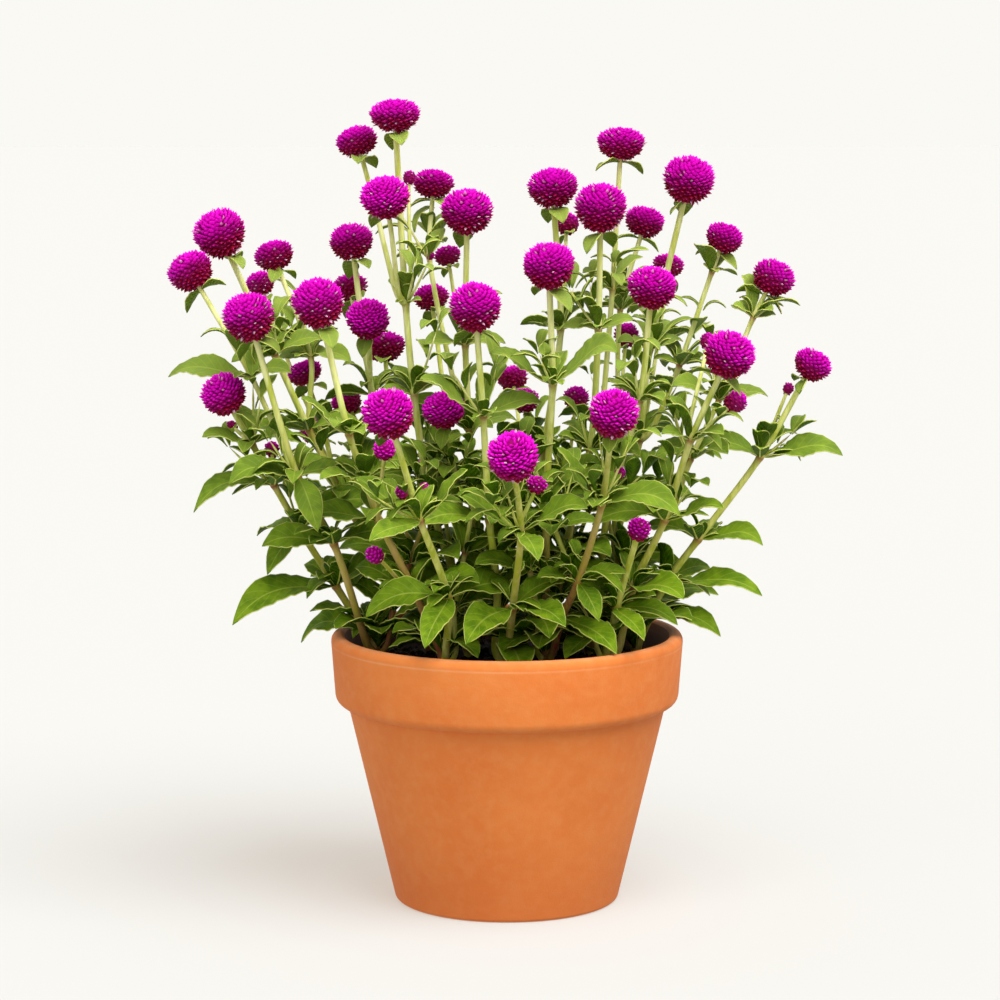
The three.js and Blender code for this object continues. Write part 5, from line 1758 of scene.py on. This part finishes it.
def terracotta_material():
    """Fired clay: darker at the foot, a painted highlight as a pale line under the lip, a pale lip and an
    inner wall darker towards the soil.
    """
    shade = Shade("terracotta")
    height = shade.part(shade.place(), "Z")
    cloud = shade.noise(14, 4, 0.6)
    fine = shade.noise(160, 4, 0.6)
    colour = shade.blend(shade.span(cloud, 0.3, 0.72), rgb(232, 124, 52), rgb(240, 136, 62))
    colour = shade.blend(shade.span(fine, 0.35, 0.75, 0.0, 0.25), colour, rgb(244, 162, 94))
    colour = shade.blend(shade.span(height, 0.0, FOOT_SHADE * MM, 0.4, 0.0), colour, rgb(208, 100, 40))
    # Painted highlight: a fine pale line round the pot where the lip's rounding begins.
    from_highlight = shade.math("ABSOLUTE", shade.math("SUBTRACT", height, (POT_HEIGHT - RIM_HIGHLIGHT_DROP) * MM))
    line = shade.span(from_highlight, 0.0, RIM_HIGHLIGHT_WIDTH * MM, 0.32, 0.0)
    line = shade.math("MULTIPLY", line, shade.span(cloud, 0.3, 0.6))
    colour = shade.blend(line, colour, rgb(250, 190, 140))
    lip = shade.span(height, (POT_HEIGHT - PALE_LIP) * MM, POT_HEIGHT * MM)
    lip = shade.math("MULTIPLY", lip, shade.span(fine, 0.3, 0.7, 0.5, 1.0))
    colour = shade.blend(shade.math("MULTIPLY", lip, 0.35), colour, rgb(236, 176, 130))
    # The inner wall grows darker from the rim down towards the soil.
    inner_dark = shade.span(height, INNER_DARK_FROM * MM, INNER_DARK_TO * MM, 0.5, 0.95)
    inner_dark = shade.math("MULTIPLY", shade.value("inside"), inner_dark)
    colour = shade.blend(inner_dark, colour, rgb(84, 48, 30))
    relief = shade.bump(shade.noise(1100, 4, 0.65), 0.25 * MM, 0.5)
    relief = shade.bump(shade.noise(90, 3, 0.5, (1, 1, 2.4)), 0.6 * MM, 0.35, relief)
    return shade.set(Base_Color=colour, Roughness=0.78, Normal=relief, Specular_IOR_Level=0.3)


def soil_material():
    shade = Shade("soil")
    colour = shade.blend(shade.span(shade.noise(700, 4, 0.7), 0.35, 0.7), rgb(24, 16, 12), rgb(66, 46, 34))
    relief = shade.bump(shade.noise(1600, 4, 0.7), 0.6 * MM, 0.8)
    return shade.set(Base_Color=colour, Roughness=0.95, Normal=relief, Specular_IOR_Level=0.2)


def glowing_material(name, colour, glow):
    """A dull colour that also gives off light of its own."""
    return Shade(name).set(
        Base_Color=colour,
        Roughness=1.0,
        Specular_IOR_Level=0.0,
        Emission_Color=glow,
        Emission_Strength=1.0,
    )


# Stage: floor, light and camera


def build_stage_face(name, matrix, material):
    """A broad square that throws no light back."""
    bm = bmesh.new()
    bmesh.ops.create_grid(bm, x_segments=1, y_segments=1, size=FLOOR_SIZE, matrix=matrix)
    face = object_of(bm, name, [material])
    face.visible_diffuse = False


def build_floor():
    build_stage_face("floor", Matrix(), glowing_material("pale_floor", FLOOR_COLOUR, FLOOR_GLOW))


def build_backdrop():
    """A pale wall far behind, which joins the floor without a line."""
    upright = Matrix.Translation((0, BACKDROP_PLACE, 0)) @ Matrix.Rotation(math.pi / 2, 4, "X")
    build_stage_face("backdrop", upright, glowing_material("pale_wall", (0, 0, 0, 1), BACKGROUND))


def add_sun(name, strength, where, angle, colour):
    """A soft sun that shines from a place towards the pot's foot."""
    data = bpy.data.lights.new(name, "SUN")
    data.energy = strength
    data.angle = math.radians(angle)
    data.color = colour
    sun = bpy.data.objects.new(name, data)
    sun.location = where
    sun.rotation_euler = (-Vector(where)).to_track_quat("-Z", "Y").to_euler()
    bpy.context.scene.collection.objects.link(sun)


def build_light():
    world = bpy.data.worlds.new("studio")
    world.use_nodes = True
    background = world.node_tree.nodes["Background"]
    background.inputs["Color"].default_value = BACKGROUND
    background.inputs["Strength"].default_value = SKY_STRENGTH
    bpy.context.scene.world = world
    add_sun("key", KEY_STRENGTH, KEY_PLACE, KEY_ANGLE, KEY_COLOUR)
    add_sun("fill", FILL_STRENGTH, FILL_PLACE, FILL_ANGLE, FILL_COLOUR)


def build_camera():
    data = bpy.data.cameras.new("camera")
    data.sensor_width = SENSOR
    data.lens = LENS
    data.shift_x = -AXIS_SHIFT
    data.clip_end = FARTHEST_SEEN
    camera = bpy.data.objects.new("camera", data)
    camera.location = (0, -EYE_DISTANCE * MM, EYE_HEIGHT * MM)
    aim = Vector((0, 0, AIM_HEIGHT * MM)) - camera.location
    camera.rotation_euler = aim.to_track_quat("-Z", "Y").to_euler()
    bpy.context.scene.collection.objects.link(camera)
    bpy.context.scene.camera = camera


LEAF_TOP = leaf_top_material()
LEAF_UNDER = leaf_under_material()
STEM_GREEN = stem_material()
MAGENTA = magenta_material()
TERRACOTTA = terracotta_material()
SOIL = soil_material()

build_floor()
build_backdrop()
build_light()
build_camera()
stems = grow_plant()
flowering = [shoot for stem in stems for shoot in stem.shoots if shoot.has_head]
twigs = [(stem, build_leafy_stem(stem, flowering)) for stem in stems]
floret = floret_mesh()
for number, shoot in enumerate(flowering):
    node = f"globe_head_{number + 1:02d}"
    build_head(shoot, f"{node}_florets", node, floret)
budding = [(stem, shoot) for stem in stems for shoot in stem.shoots if "bud" in shoot.entry]
for number, (stem, shoot) in enumerate(budding):
    build_head(shoot, f"bud_{number + 1}", stem.name, floret)
for stem, tips in twigs:
    build_twig_buds(stem, tips, floret)
bpy.data.meshes.remove(floret)
build_pot()
build_soil()

bpy.context.scene.view_settings.view_transform = "Standard"
